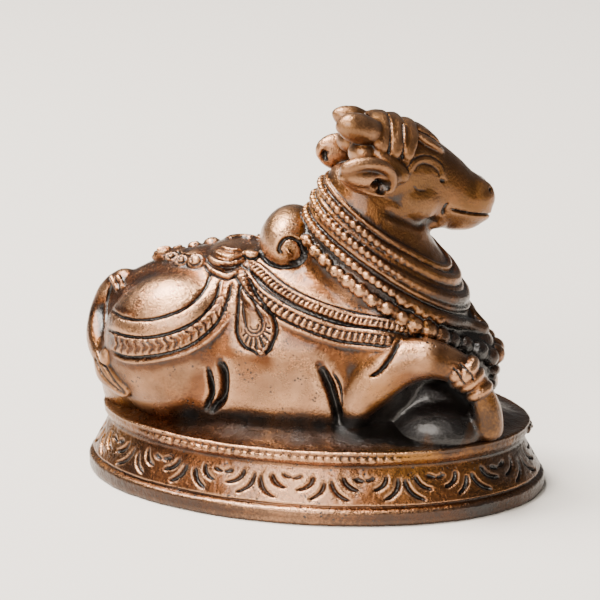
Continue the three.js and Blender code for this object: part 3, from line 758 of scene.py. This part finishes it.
ankletCords = [
    [[24.8, -13, 11.4], [26.2, -13.4, 10], [26.9, -13.2, 8.6]],
    [[25.8, -12.6, 12], [27.4, -12.8, 10.6], [28.2, -12.4, 9.2]],
]
for rows in ankletCords:
    bodyStroke(rows, 0.26, -0.35, count=40)
print("strokes done")


def addField(obj, name, values):
    obj.data.attributes.new(name, "FLOAT", "POINT").data.foreach_set("value", values)


setPoints(skin, work["points"])
addField(skin, "stain", work["ink"])
applied(skin, "DECIMATE", ratio=min(1, bull["faces"] / (2 * len(skin.data.polygons))))
print("bull:", len(skin.data.polygons), "faces")

plinth = {
    "length": 76, "width": 48, "top": 15.4, "steps": 960,
    "bandFoot": 3.3, "bandTop": 8.2, "bandSetBack": 0.7, "bandLean": 2.6,
}
roll = {"setBack": 4.9, "height": 10.65, "radius": 2.25}
petals = {"count": 16, "shift": 1.1, "width": 0.6, "depth": 0.75, "points": 22}
petalArcs = [  # half width, top and foot below the band's upper edge, where the quarter turn runs
    {"reach": 5.5, "top": 1.1, "foot": 4.5, "ends": (0.05, 1.1), "weight": 1},
    {"reach": 3.6, "top": 0.6, "foot": 2.85, "ends": (0.05, 1.35), "weight": 1},
    {"reach": 1.6, "top": 0.6, "foot": 1.35, "ends": (0.3, 1.57), "weight": 0.6},
]
rollBeads = {  # with the places on the near side where the wear ends, and how far it takes to fade
    "pitch": 1.45, "tilt": math.radians(-14), "long": 0.22, "wide": 0.6, "height": 0.5,
    "rumpEnd": -27, "rumpFade": 6, "forelegEnd": 20, "forelegFade": 5, "least": 0.12,
    "gapWidth": 0.2, "gapDepth": 0.25, "gapInk": 0.6,
}
rimReach, rimGap = plinth["length"] / 2, (plinth["length"] - plinth["width"]) / 2
bandRise = plinth["bandTop"] - plinth["bandFoot"]


# How far behind the rim the roll's face stands, and its height, at some turn over it.
def rollFace(turn):
    return roll["setBack"] - roll["radius"] * np.cos(turn), roll["height"] + roll["radius"] * np.sin(turn)


# The outline behind the rim and up: foot, groove, leaning band, roll, and the lip over its beads
# with the cove that rises to the bull.
rows = [[0.5, 0], [0.12, 0.14], [0, 0.5]] + [[0, z] for z in np.linspace(0.8, 2.1, 6)]
rows += [[0.14, 2.45], [0.5, 2.6], [0.85, 2.75], [1.1, 2.95], [0.95, 3.15]]
for t in np.linspace(0, 1, 30):
    rows.append([plinth["bandSetBack"] + plinth["bandLean"] * t, plinth["bandFoot"] + bandRise * t])
rows += [rollFace(turn) for turn in np.radians(np.linspace(-58, 14, 24))]
rows += [[2.78, 11.34], [2.95, 11.42], [3.2, 11.4]]
rows += smoothRows([[3.5, 11.38], [5, 11.62], [7, 12.3], [9, 13.35], [12, plinth["top"]]], 14).tolist()
outline = [(0, 0, 0)] + [(rimReach - setBack, 0, z) for setBack, z in rows] + [(0, 0, plinth["top"])]
plinthCast = meshFrom(outline, [], "plinth_cast", [(i, i + 1) for i in range(len(outline) - 1)])
pick(plinthCast)
bpy.ops.object.mode_set(mode="EDIT")
bpy.ops.mesh.select_all(action="SELECT")
bpy.ops.mesh.spin(steps=plinth["steps"], angle=2 * math.pi, center=(0, 0, 0), axis=(0, 0, 1))
bpy.ops.mesh.select_all(action="SELECT")
bpy.ops.mesh.remove_doubles(threshold=0.001)
bpy.ops.mesh.normals_make_consistent(inside=False)
bpy.ops.object.mode_set(mode="OBJECT")

# the spun round is narrowed to the oval, by as much at the rim as within it
points = pointsOf(plinthCast)
radius = np.maximum(np.hypot(points[:, 0], points[:, 1]), 0.01)
points[:, 1] *= np.maximum(radius - rimGap, 0.3 * radius) / radius
points[:, 2] -= ledgeHeight
setPoints(plinthCast, points)

# the way round the rim, measured along it from the front end
turns = np.linspace(0, 2 * math.pi, 2881)
rimLine = np.stack([rimReach * np.cos(turns), (rimReach - rimGap) * np.sin(turns)], 1)
walked = np.r_[0, np.cumsum(np.linalg.norm(np.diff(rimLine, axis=0), axis=1))]
rimLength = walked[-1]


def onPlinth(walk, setBack, height):
    turn = np.interp(np.mod(walk, rimLength), walked, turns)
    setBack, height = np.broadcast_to(setBack, turn.shape), np.broadcast_to(height, turn.shape)
    reach = rimReach - setBack
    return np.stack([reach * np.cos(turn), (reach - rimGap) * np.sin(turn), height - ledgeHeight], -1)


def onBand(walk, drop):
    setBack = plinth["bandSetBack"] + plinth["bandLean"] * (1 - drop / bandRise)
    return onPlinth(walk, setBack, plinth["bandTop"] - drop)


carved = carving(plinthCast)
plinthSkin = surfaceOf(plinthCast)


def plinthStroke(line, width, height, edge=roundEdge, ink=None):
    spots, facing = laidOn(plinthSkin, line, len(line))
    stroke(carved, spots, facing, width, height, edge, ink)


swell = petals["width"] * (0.5 + 0.5 * np.sin(np.linspace(0.2, 0.95, petals["points"]) * math.pi))
depth = petals["depth"] * tapered(petals["points"], 0.15, 0.1)
for i in range(petals["count"]):
    middle = i / petals["count"] * rimLength + petals["shift"]
    for arc in petalArcs:
        for way in bothSides:
            start, end = np.array(arc["ends"]) + luck.uniform(-0.08, 0.08, 2)
            turn = np.linspace(max(start, 0), min(end, math.pi / 2), petals["points"])
            out = way * arc["reach"] * luck.uniform(0.94, 1.04) * np.maximum(np.cos(turn), 0) ** 0.85
            fall = (arc["foot"] - arc["top"]) * np.sin(turn) ** 0.85 + luck.uniform(-0.12, 0.12)
            line = onBand(middle + out, arc["top"] + fall)
            plinthStroke(line, swell * luck.uniform(0.85, 1.1), -depth * arc["weight"])


def onRoll(walk, along=0.0):
    walk, along = np.broadcast_arrays(walk, along)
    return onPlinth(walk, *rollFace(rollBeads["tilt"] + along / roll["radius"]))


# beads along the roll, rubbed away at the bull's rump and beyond its foreleg
count = round(rimLength / rollBeads["pitch"])
for walk in np.arange(count) / count * rimLength:
    place = onRoll([walk])[0]
    fresh = 1.0
    if place[1] < 0:
        pastRump = (place[0] - rollBeads["rumpEnd"]) / rollBeads["rumpFade"]
        beforeForeleg = (rollBeads["forelegEnd"] - place[0]) / rollBeads["forelegFade"]
        fresh = min(1, max(0, pastRump)) * min(1, max(rollBeads["least"], beforeForeleg))
    fresh *= luck.uniform(0.75, 1.1)
    walk += luck.uniform(-0.08, 0.08)
    across = onRoll(walk + np.array([-1, 0, 1]) * rollBeads["long"])
    plinthStroke(across, rollBeads["wide"], rollBeads["height"] * fresh, domeEdge)
    gap = onRoll(walk + rollBeads["pitch"] / 2 + np.linspace(0, 0.12, 5), np.linspace(0.1, 0.75, 5))
    plinthStroke(gap, rollBeads["gapWidth"], -rollBeads["gapDepth"] * fresh, ink=rollBeads["gapInk"] * fresh)
plinthStroke(onRoll(np.linspace(0, rimLength, 900), 1.06), 0.3, 0.16, ink=0)
setPoints(plinthCast, carved["points"])
addField(plinthCast, "stain", carved["ink"])
print("plinth:", len(plinthCast.data.polygons), "faces")

# unevenness of the cast skin: how many in a millimetre, and how high in millimetres
grain = {"dents": (0.16, 0.1), "ripples": (0.6, 0.05), "granules": (2.2, 0.04)}


def roughened(obj, strength):
    points, normals = pointsOf(obj), normalsOf(obj)
    lift = np.zeros(len(points))
    for number, (scale, height) in enumerate(grain.values()):
        shifted = (points * scale + number * 31.7).tolist()
        lift += np.array([noise.noise(spot) for spot in shifted]) * height
    setPoints(obj, points + normals * (lift * strength)[:, None])


# How far each point lies below the skin's own average round it.
def depthBelow(obj, points, normals, rounds):
    edges = np.empty(len(obj.data.edges) * 2, np.int32)
    obj.data.edges.foreach_get("vertices", edges)
    start, end = edges[0::2], edges[1::2]
    owners, others = np.r_[start, end], np.r_[end, start]
    count = len(points)
    degree = np.maximum(np.bincount(owners, minlength=count), 1)
    smooth = points.copy()
    for _ in range(rounds):
        around = [np.bincount(owners, smooth[others, i], count) / degree for i in range(3)]
        smooth = 0.3 * smooth + 0.7 * np.stack(around, 1)
    return ((smooth - points) * normals).sum(1)


# The share of the sky that the figure itself hides from each point of a coarse copy.
shelter = {"voxel": 0.85, "rays": 60, "reach": 14, "neighbours": 4, "lift": 0.3, "grazing": 0.15}
coarseParts = []
for piece in (skin, plinthCast):
    coarse = piece.copy()
    coarse.data = piece.data.copy()
    bpy.context.scene.collection.objects.link(coarse)
    coarseParts.append(coarse)
coarse = fused(coarseParts, "coarse", shelter["voxel"], 1)
coarsePoints, coarseNormals = pointsOf(coarse), normalsOf(coarse)
blockers = surfaceOf(coarse)
bpy.data.objects.remove(coarse)

spiral = math.pi * (3 - math.sqrt(5)) * np.arange(shelter["rays"])  # the golden angle, for even rays
heights = 1 - 2 * (np.arange(shelter["rays"]) + 0.5) / shelter["rays"]
around = np.sqrt(1 - heights ** 2)
directions = np.stack([around * np.cos(spiral), around * np.sin(spiral), heights], 1)
rays = [Vector(direction) for direction in directions]
coarseHidden = np.zeros(len(coarsePoints))
tree = KDTree(len(coarsePoints))
for i, (point, normal) in enumerate(zip(coarsePoints, coarseNormals)):
    facing = directions @ normal
    origin = Vector(point + normal * shelter["lift"])
    seen = np.flatnonzero(facing > shelter["grazing"])
    blocked = [j for j in seen if blockers.ray_cast(origin, rays[j], shelter["reach"])[0] is not None]
    coarseHidden[i] = facing[blocked].sum() / facing[seen].sum()
    tree.insert(point, i)
tree.balance()


def hiddenShare(points, normals):
    found = np.zeros(len(points))
    for i, (point, normal) in enumerate(zip(points, normals)):
        total = weight = 0.0
        for _, j, gap in tree.find_n(point, shelter["neighbours"]):
            near = max(0.02, normal @ coarseNormals[j]) / (gap + 0.2)
            total += coarseHidden[j] * near
            weight += near
        found[i] = total / weight
    return found


# Where the casting is golden, and where it is olive, which also paints the shade on the head, the neck and
# chest front, and the plinth's right end: place, reach and strength.
amberPlaces = [
    ((-4, -3, 29), 6, 1), ((0.5, -3, 34), 5, 0.8), ((3, -8, 27), 4, 0.5), ((-35, -10, -1), 9, 1),
    ((-37, 0, -8), 10, 0.7), ((20, -19, -1), 7, 0.9), ((33, -10, -6), 9, 0.6), ((29.5, -11, 3), 5, 0.7),
    ((13, -15, 8), 5, 0.45), ((-3, -15, 2), 5, 0.4), ((8, -15, 3), 4, 0.4), ((18, -9, 17), 4, 0.6),
    ((6, -7, 43), 4, 0.6), ((-34, -3, 8), 4, 0.5),
]
oliveAndShadePlaces = [
    ((18, -4, 38), 13, 1), ((26, 2, 34), 8, 1), ((10, 0, 46), 10, 1), ((26, 0, 16), 8, 0.9),
    ((20, -4, 26), 9, 1), ((36, 0, -6), 9, 1), ((30, 12, 0), 14, 0.5), ((-36, 6, -6), 10, 0.6),
    ((30, -11, 1.5), 5, 1), ((23.1, -14.4, 12), 2.6, 0.8), ((-31, -12, 4), 6, 0.5),
    ((-20, -16, 6), 5, 0.35), ((14, -15, 4.5), 4, 0.4), ((8, -9, 47), 5, 0.9), ((8.4, -13.5, 42.4), 4, 0.7),
]

# dark field: painted shade at the sheltered places, only where the figure shelters a point from the sky;
# black, as dark patina and painted shade, at the black places anywhere; and less of both at the polished
# places, which also carry painted highlights
shelteredShadePlaces = [
    ((20, -8.5, 4), 7, 2), ((24, -9, 2), 6.5, 2), ((15, -9, 2), 4.5, 1.4), ((20, -9.5, 17), 4, 0.5),
] + [((x, -15.2 + 0.008 * (x - 2) ** 2, 0.2), 3.4, 1.3) for x in range(-17, 24, 3)]
# polished places: rubbed metal, and painted highlights where the light glints on the band, the roll, the
# flank, the rump, the knee, the hump, the ear and the horn
polishedAndHighlitPlaces = [
    ((8.3, -10.7, 21.9), 4.5, 1), ((-18.7, -11.6, 20.3), 4.5, 1), ((20.2, -14.4, 13.9), 2.6, 1),
    ((-4, -7, 29), 3, 0.5), ((1, -21.3, -6.5), 12, 1), ((0, -20.6, -2.2), 9, 0.8), ((7, -10.3, 42), 2, 0.7),
    ((8, -9, 48), 2, 0.5),
]
# black places: dark patina under the raised foreleg, on the chest beads and along the ledge, and painted
# shade on the chest front, the forearm, the hoof, the low haunch, the tail and the plinth's right end
blackAndShadePlaces = [
    ((24, -5.6, 14.2), 4.5, 0.9), ((27, -4, 11), 5.5, 1), ((24.7, -3.1, 17), 4.5, 0.9), ((28, -4, 5), 6, 1),
    ((22, -6, 20), 4, 0.5), ((20, -9.4, 3), 5.5, 1), ((24, -9.8, 2.5), 5, 1), ((27.5, -10.5, -1), 3, 0.9),
    ((24, -12.5, 0.6), 3.6, 1.8), ((19, -12, 1.5), 3.8, 1.8), ((25.4, -13.4, -0.2), 2.2, 1.3),
    ((-36, -3, 11), 5, 0.26), ((17.8, -5, 35.2), 4.5, 0.17), ((32, -9, -5.9), 5, 0.6),
    ((30.3, -11.9, 2.6), 5, 0.38), ((23.1, -14.4, 12), 2.4, 0.36), ((-20, -16.2, 5), 5, 0.19),
    ((-31, -12.5, 4), 4, 0.2), ((-8, -17, -0.8), 5, 0.3), ((1.5, -17.6, -0.8), 5, 0.5),
    ((10, -17, -0.8), 5, 0.4), ((35, -3.5, -5), 6, 0.7), ((30, -14, -10), 4, 0.4), ((35, 4, -6), 8, 0.7),
    ((31, -8, -1.5), 5, 0.5),
]


def tintFrom(places, points):
    tint = np.zeros(len(points))
    for place, reach, strength in places:
        gap = np.linalg.norm(points - np.array(place), axis=1) / reach
        tint = np.maximum(tint, strength * np.exp(-1.2 * gap ** 2))
    return tint


# 0 at the start of a range and 1 at its end
def within(values, start, end):
    return np.clip((values - start) / (end - start), 0, 1)


patina = {
    "fineRounds": 6, "broadRounds": 40,  # how widely the skin is averaged
    "fineCut": 0.09, "broadHollow": 0.35, "broadRidge": (0.2, 0.7),  # mm below or above that average
    "rimTop": 2.7, "rimFade": 0.4, "rimShade": 0.48,  # the plinth's dark foot
}
for piece in (skin, plinthCast):
    points, normals = pointsOf(piece), normalsOf(piece)
    ink = np.empty(len(points))
    piece.data.attributes["stain"].data.foreach_get("value", ink)
    fine = depthBelow(piece, points, normals, patina["fineRounds"])
    broad = depthBelow(piece, points, normals, patina["broadRounds"])
    hidden = hiddenShare(points, normals)
    oliveAndShade, polishedAndHighlit = tintFrom(oliveAndShadePlaces, points), tintFrom(polishedAndHighlitPlaces, points)
    # the dark field: dark patina that stays in the hollows, with painted shade added below
    patinaAndShade = within(fine, 0, patina["fineCut"]) * 0.5
    patinaAndShade += within(broad, 0, patina["broadHollow"]) * (0.5 - 0.35 * oliveAndShade)
    if piece == plinthCast:
        rimTop = patina["rimTop"] - ledgeHeight
        belowRim = within(points[:, 2], rimTop, rimTop - patina["rimFade"])
        patinaAndShade = patinaAndShade * 0.45 + belowRim * patina["rimShade"]
    # painted shade: darker where the figure hides much of the sky from a point; the strokes' ink is dark
    # polish
    patinaAndShade += within(hidden, 0.5, 0.9) * 0.7 + ink * 0.55
    # painted shade at the sheltered places, and black patina with painted shade at the black places
    patinaAndShade += tintFrom(shelteredShadePlaces, points) * within(hidden, 0.1, 0.35) + tintFrom(blackAndShadePlaces, points)
    patinaAndShade = np.clip(patinaAndShade * (1 - 0.5 * polishedAndHighlit), 0, 1)
    # worn: rubbed edges and ridges, and painted highlights at the polished places
    worn = 0.7 * polishedAndHighlit + np.clip(-fine / patina["fineCut"] - 0.1, 0, 1) * 0.8
    worn += within(-broad, *patina["broadRidge"]) * 0.2
    addField(piece, "patinaAndShade", patinaAndShade)
    addField(piece, "worn", np.clip(worn, 0, 1) * (1 - patinaAndShade))
    addField(piece, "amber", tintFrom(amberPlaces, points))
    addField(piece, "oliveAndShade", oliveAndShade)
    roughened(piece, 1.3 if piece == plinthCast else 1)
print("patina mapped")

# into metres, on the ground
for piece in (skin, plinthCast):
    points = pointsOf(piece)
    points[:, 2] += ledgeHeight
    setPoints(piece, points * 0.001)
    pick(piece)
    bpy.ops.object.shade_smooth()


def linear(hexColour):
    channels = [int(hexColour[i:i + 2], 16) / 255 for i in (0, 2, 4)]
    return [c / 12.92 if c <= 0.04045 else ((c + 0.055) / 1.055) ** 2.4 for c in channels] + [1]


# A setting is an input's value, by its name or number, or else a property of the node.
def addNode(tree, kind, settings=None, links=None, output=0):
    node = tree.nodes.new("ShaderNode" + kind)
    for key, value in (settings or {}).items():
        if isinstance(key, int) or key in node.inputs:
            node.inputs[key].default_value = value
        else:
            setattr(node, key, value)
    for key, source in (links or {}).items():
        tree.links.new(source, node.inputs[key])
    return node.outputs[output]


copper = {
    # the pale rubbed colour also paints highlights, and the brown film and the near-black also paint shade
    "brown": "4f2f1c", "rose": "845230", "streaks": "432715", "golden": "8c5f20", "oliveAndShade": "63421c",
    "rubbedAndHighlit": "c5956f", "filmAndShade": "3a2414", "blackAndShade": "100c0a",
    # size in millimetres, detail and roughness; the specks are as coarse as they need to be to show
    "noises": {
        "clouds": (9.09, 5, 0.6), "mottle": (1.923, 6, 0.65), "speck": (0.3846, 3, 0.6),
        "swarms": (4.167, 4, 0.6),
    },
    "pitSpacing": 0.6667, "driftSize": 1.111, "drift": 0.9,  # millimetres; pits lie unevenly by the drift
    # what a pattern or a field does: from its first two values to the last two
    "spans": {
        "rose": ("clouds", 0.36, 0.64, 0, 1), "streaks": ("mottle", 0.42, 0.7, 0, 0.25),
        "goldClouds": ("clouds", 0.3, 0.6, 0.5, 1), "oliveMottle": ("mottle", 0.3, 0.6, 0.65, 1),
        "rubAndHighlight": ("worn", 0.2, 1, 0, 1), "rubMottle": ("mottle", 0.3, 0.6, 0.7, 1),
        "rubOffOlive": ("oliveAndShade", 0, 1, 1, 0.05), "pits": ("pits", 0.2, 0.34, 1, 0),
        "swarms": ("swarms", 0.54, 0.6, 0, 1), "pitsOffOlive": ("oliveAndShade", 0.2, 0.5, 1, 0),
        "darkMottle": ("mottle", 0.3, 0.7, -0.09, 0.07), "darkSpeck": ("speck", 0.35, 0.65, -0.08, 0.06),
        "roughness": ("mottle", 0.3, 0.7, 0.21, 0.34),
        "highSpeck": ("speck", 0.3, 0.7, 0, 0.6), "highMottle": ("mottle", 0.3, 0.7, 0, 0.4),
    },
    # where the dark field, patina and painted shade, turns to brown film and to near-black
    "filmAndShadeFrom": 0.1, "filmAndShadeTo": 0.4, "filmAndShadeShare": 0.8, "blackAndShadeFrom": 0.28, "blackAndShadeTo": 0.85,
    "metallic": 0.97, "blackAndShadeMetallic": 0.2, "oliveMatt": 0.14, "blackAndShadeGloss": 0.09,
    "coat": 0.35, "coatRoughness": 0.16, "pitDepth": 0.35, "bump": 0.9, "bumpHeight": 0.0001,
}


# Cast brass with a rubbed copper finish: rose brown metal, golden and olive in places, with near-black
# polish left in the hollows, so the eye reads the carving by its dark lines. The olive, the brown film and
# the near-black also paint shade, and the pale rubbed colour also paints highlights.
def antiquedCopper():
    material = bpy.data.materials.new("antiqued_copper")
    material.use_nodes = True
    tree = material.node_tree
    shader = tree.nodes["Principled BSDF"].inputs
    times = {"operation": "MULTIPLY", "use_clamp": True}
    plus = {"operation": "ADD", "use_clamp": True}
    minus = {"operation": "SUBTRACT", "use_clamp": True}
    either = {"operation": "MAXIMUM", "use_clamp": True}

    places = addNode(tree, "TexCoord", output="Object")
    source = {}
    for name in ("patinaAndShade", "worn", "amber", "oliveAndShade"):
        source[name] = addNode(tree, "Attribute", {"attribute_name": name}, output="Fac")
    for name, (size, detail, rough) in copper["noises"].items():
        settings = {"Scale": 1000 / size, "Detail": detail, "Roughness": rough}
        source[name] = addNode(tree, "TexNoise", settings, {"Vector": places})
    astray = addNode(tree, "TexNoise", {"Scale": 1000 / copper["driftSize"]}, {"Vector": places}, "Color")
    drift = [copper["drift"] / 1000] * 3
    drifted = addNode(tree, "VectorMath", {"operation": "MULTIPLY_ADD", 1: drift}, {0: astray, 2: places})
    source["pits"] = addNode(tree, "TexVoronoi", {"Scale": 1000 / copper["pitSpacing"]}, {"Vector": drifted})
    span = {}
    for name, (pattern, low, high, first, last) in copper["spans"].items():
        limits = {"From Min": low, "From Max": high, "To Min": first, "To Max": last}
        span[name] = addNode(tree, "MapRange", limits, {"Value": source[pattern]})

    golden = addNode(tree, "Math", times, {0: source["amber"], 1: span["goldClouds"]})
    # olive tone, which also paints shade on the head and the shaded side
    oliveAndShadeShare = addNode(tree, "Math", times, {0: source["oliveAndShade"], 1: span["oliveMottle"]})
    rubbedAndHighlit = addNode(tree, "Math", times, {0: span["rubAndHighlight"], 1: span["rubMottle"]})
    rubbedAndHighlit = addNode(tree, "Math", times, {0: rubbedAndHighlit, 1: span["rubOffOlive"]})
    spotted = addNode(tree, "Math", times, {0: span["pits"], 1: span["swarms"]})
    spotted = addNode(tree, "Math", times, {0: spotted, 1: span["pitsOffOlive"]})
    # the dark field, patina and painted shade, with some noise
    soft = addNode(tree, "Math", plus, {0: source["patinaAndShade"], 1: span["darkMottle"]})
    soft = addNode(tree, "Math", plus, {0: soft, 1: span["darkSpeck"]})
    limits = {"From Min": copper["filmAndShadeFrom"], "From Max": copper["filmAndShadeTo"], "To Max": copper["filmAndShadeShare"]}
    filmAndShade = addNode(tree, "MapRange", limits, {"Value": soft})
    limits = {"From Min": copper["blackAndShadeFrom"], "From Max": copper["blackAndShadeTo"]}
    dark = addNode(tree, "MapRange", limits, {"Value": soft})
    dark = addNode(tree, "Math", either, {0: dark, 1: spotted})

    # each colour lies over the ones before it
    settings = {"data_type": "RGBA", 6: linear(copper["brown"]), 7: linear(copper["rose"])}
    metal = addNode(tree, "Mix", settings, {0: span["rose"]}, 2)
    layers = {"streaks": span["streaks"], "golden": golden, "oliveAndShade": oliveAndShadeShare, "rubbedAndHighlit": rubbedAndHighlit,
              "filmAndShade": filmAndShade, "blackAndShade": dark}
    for colour, share in layers.items():
        settings = {"data_type": "RGBA", 7: linear(copper[colour])}
        metal = addNode(tree, "Mix", settings, {0: share, 6: metal}, 2)
    tree.links.new(metal, shader["Base Color"])

    limits = {"To Min": copper["metallic"], "To Max": copper["blackAndShadeMetallic"]}
    tree.links.new(addNode(tree, "MapRange", limits, {"Value": dark}), shader["Metallic"])
    matt = addNode(tree, "MapRange", {"To Max": copper["oliveMatt"]}, {"Value": oliveAndShadeShare})
    gloss = addNode(tree, "MapRange", {"From Min": 0.6, "To Max": copper["blackAndShadeGloss"]}, {"Value": dark})
    rough = addNode(tree, "Math", plus, {0: span["roughness"], 1: matt})
    tree.links.new(addNode(tree, "Math", minus, {0: rough, 1: gloss}), shader["Roughness"])
    shader["Coat Weight"].default_value = copper["coat"]
    shader["Coat Roughness"].default_value = copper["coatRoughness"]

    pitted = addNode(tree, "MapRange", {"To Max": copper["pitDepth"]}, {"Value": spotted})
    height = addNode(tree, "Math", plus, {0: span["highSpeck"], 1: span["highMottle"]})
    height = addNode(tree, "Math", minus, {0: height, 1: pitted})
    settings = {"Strength": copper["bump"], "Distance": copper["bumpHeight"]}
    tree.links.new(addNode(tree, "Bump", settings, {"Height": height}), shader["Normal"])
    return material


material = antiquedCopper()
for piece in (skin, plinthCast):
    piece.data.materials.clear()
    piece.data.materials.append(material)
    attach(piece, "root")
    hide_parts("nandi_bull")
print("material made")

# floor, light and camera, in metres
studio = {
    "floorColour": "e8e2da", "floorRoughness": 0.9, "skyColour": "e9e6e2", "skyStrength": 0.26,
    "lights": {  # place, size, watts and colour
        "key": ((-0.4, 0.02, 1.02), (0.5, 0.5), 42, "fffaf4"),
        "fill": ((-0.2, -0.91, 0.58), (0.6, 0.45), 12, "fff6ec"),
    },
    "lightsAim": (0, 0, 0.03),
}
bpy.ops.object.select_all(action="DESELECT")
bpy.ops.mesh.primitive_plane_add(size=3, location=(0, 0, 0))
floor = bpy.context.object
floor.name = "floor"
floorPaint = bpy.data.materials.new("pale_floor")
floorPaint.use_nodes = True
paint = floorPaint.node_tree.nodes["Principled BSDF"].inputs
paint["Base Color"].default_value = linear(studio["floorColour"])
paint["Roughness"].default_value = studio["floorRoughness"]
floor.data.materials.append(floorPaint)

world = bpy.data.worlds.new("studio")
bpy.context.scene.world = world
world.use_nodes = True
sky = world.node_tree.nodes["Background"].inputs
sky["Color"].default_value = linear(studio["skyColour"])
sky["Strength"].default_value = studio["skyStrength"]

for name, (place, size, watts, colour) in studio["lights"].items():
    light = bpy.data.lights.new(name, "AREA")
    light.shape = "RECTANGLE"
    light.size, light.size_y = size
    light.energy = watts
    light.color = linear(colour)[:3]
    lamp = bpy.data.objects.new(name, light)
    bpy.context.scene.collection.objects.link(lamp)
    lamp.location = place
    lamp.rotation_euler = (Vector(studio["lightsAim"]) - Vector(place)).to_track_quat("-Z", "Y").to_euler()

view = {  # in degrees and metres, with the lens in millimetres
    "azimuth": 12.4, "elevation": 17.2, "distance": 0.45, "target": (-0.00232, -0.00051, 0.02964),
    "lens": 166.5,
}
camera = bpy.data.cameras.new("camera")
camera.lens = view["lens"]
camera.sensor_width = 36
camera.clip_start = 0.01
eye = bpy.data.objects.new("camera", camera)
bpy.context.scene.collection.objects.link(eye)
azimuth, elevation = math.radians(view["azimuth"]), math.radians(view["elevation"])
level = math.cos(elevation)
back = Vector((math.sin(azimuth) * level, -math.cos(azimuth) * level, math.sin(elevation)))
eye.location = Vector(view["target"]) + back * view["distance"]
eye.rotation_euler = (-back).to_track_quat("-Z", "Y").to_euler()
bpy.context.scene.camera = eye

print("scene ready")
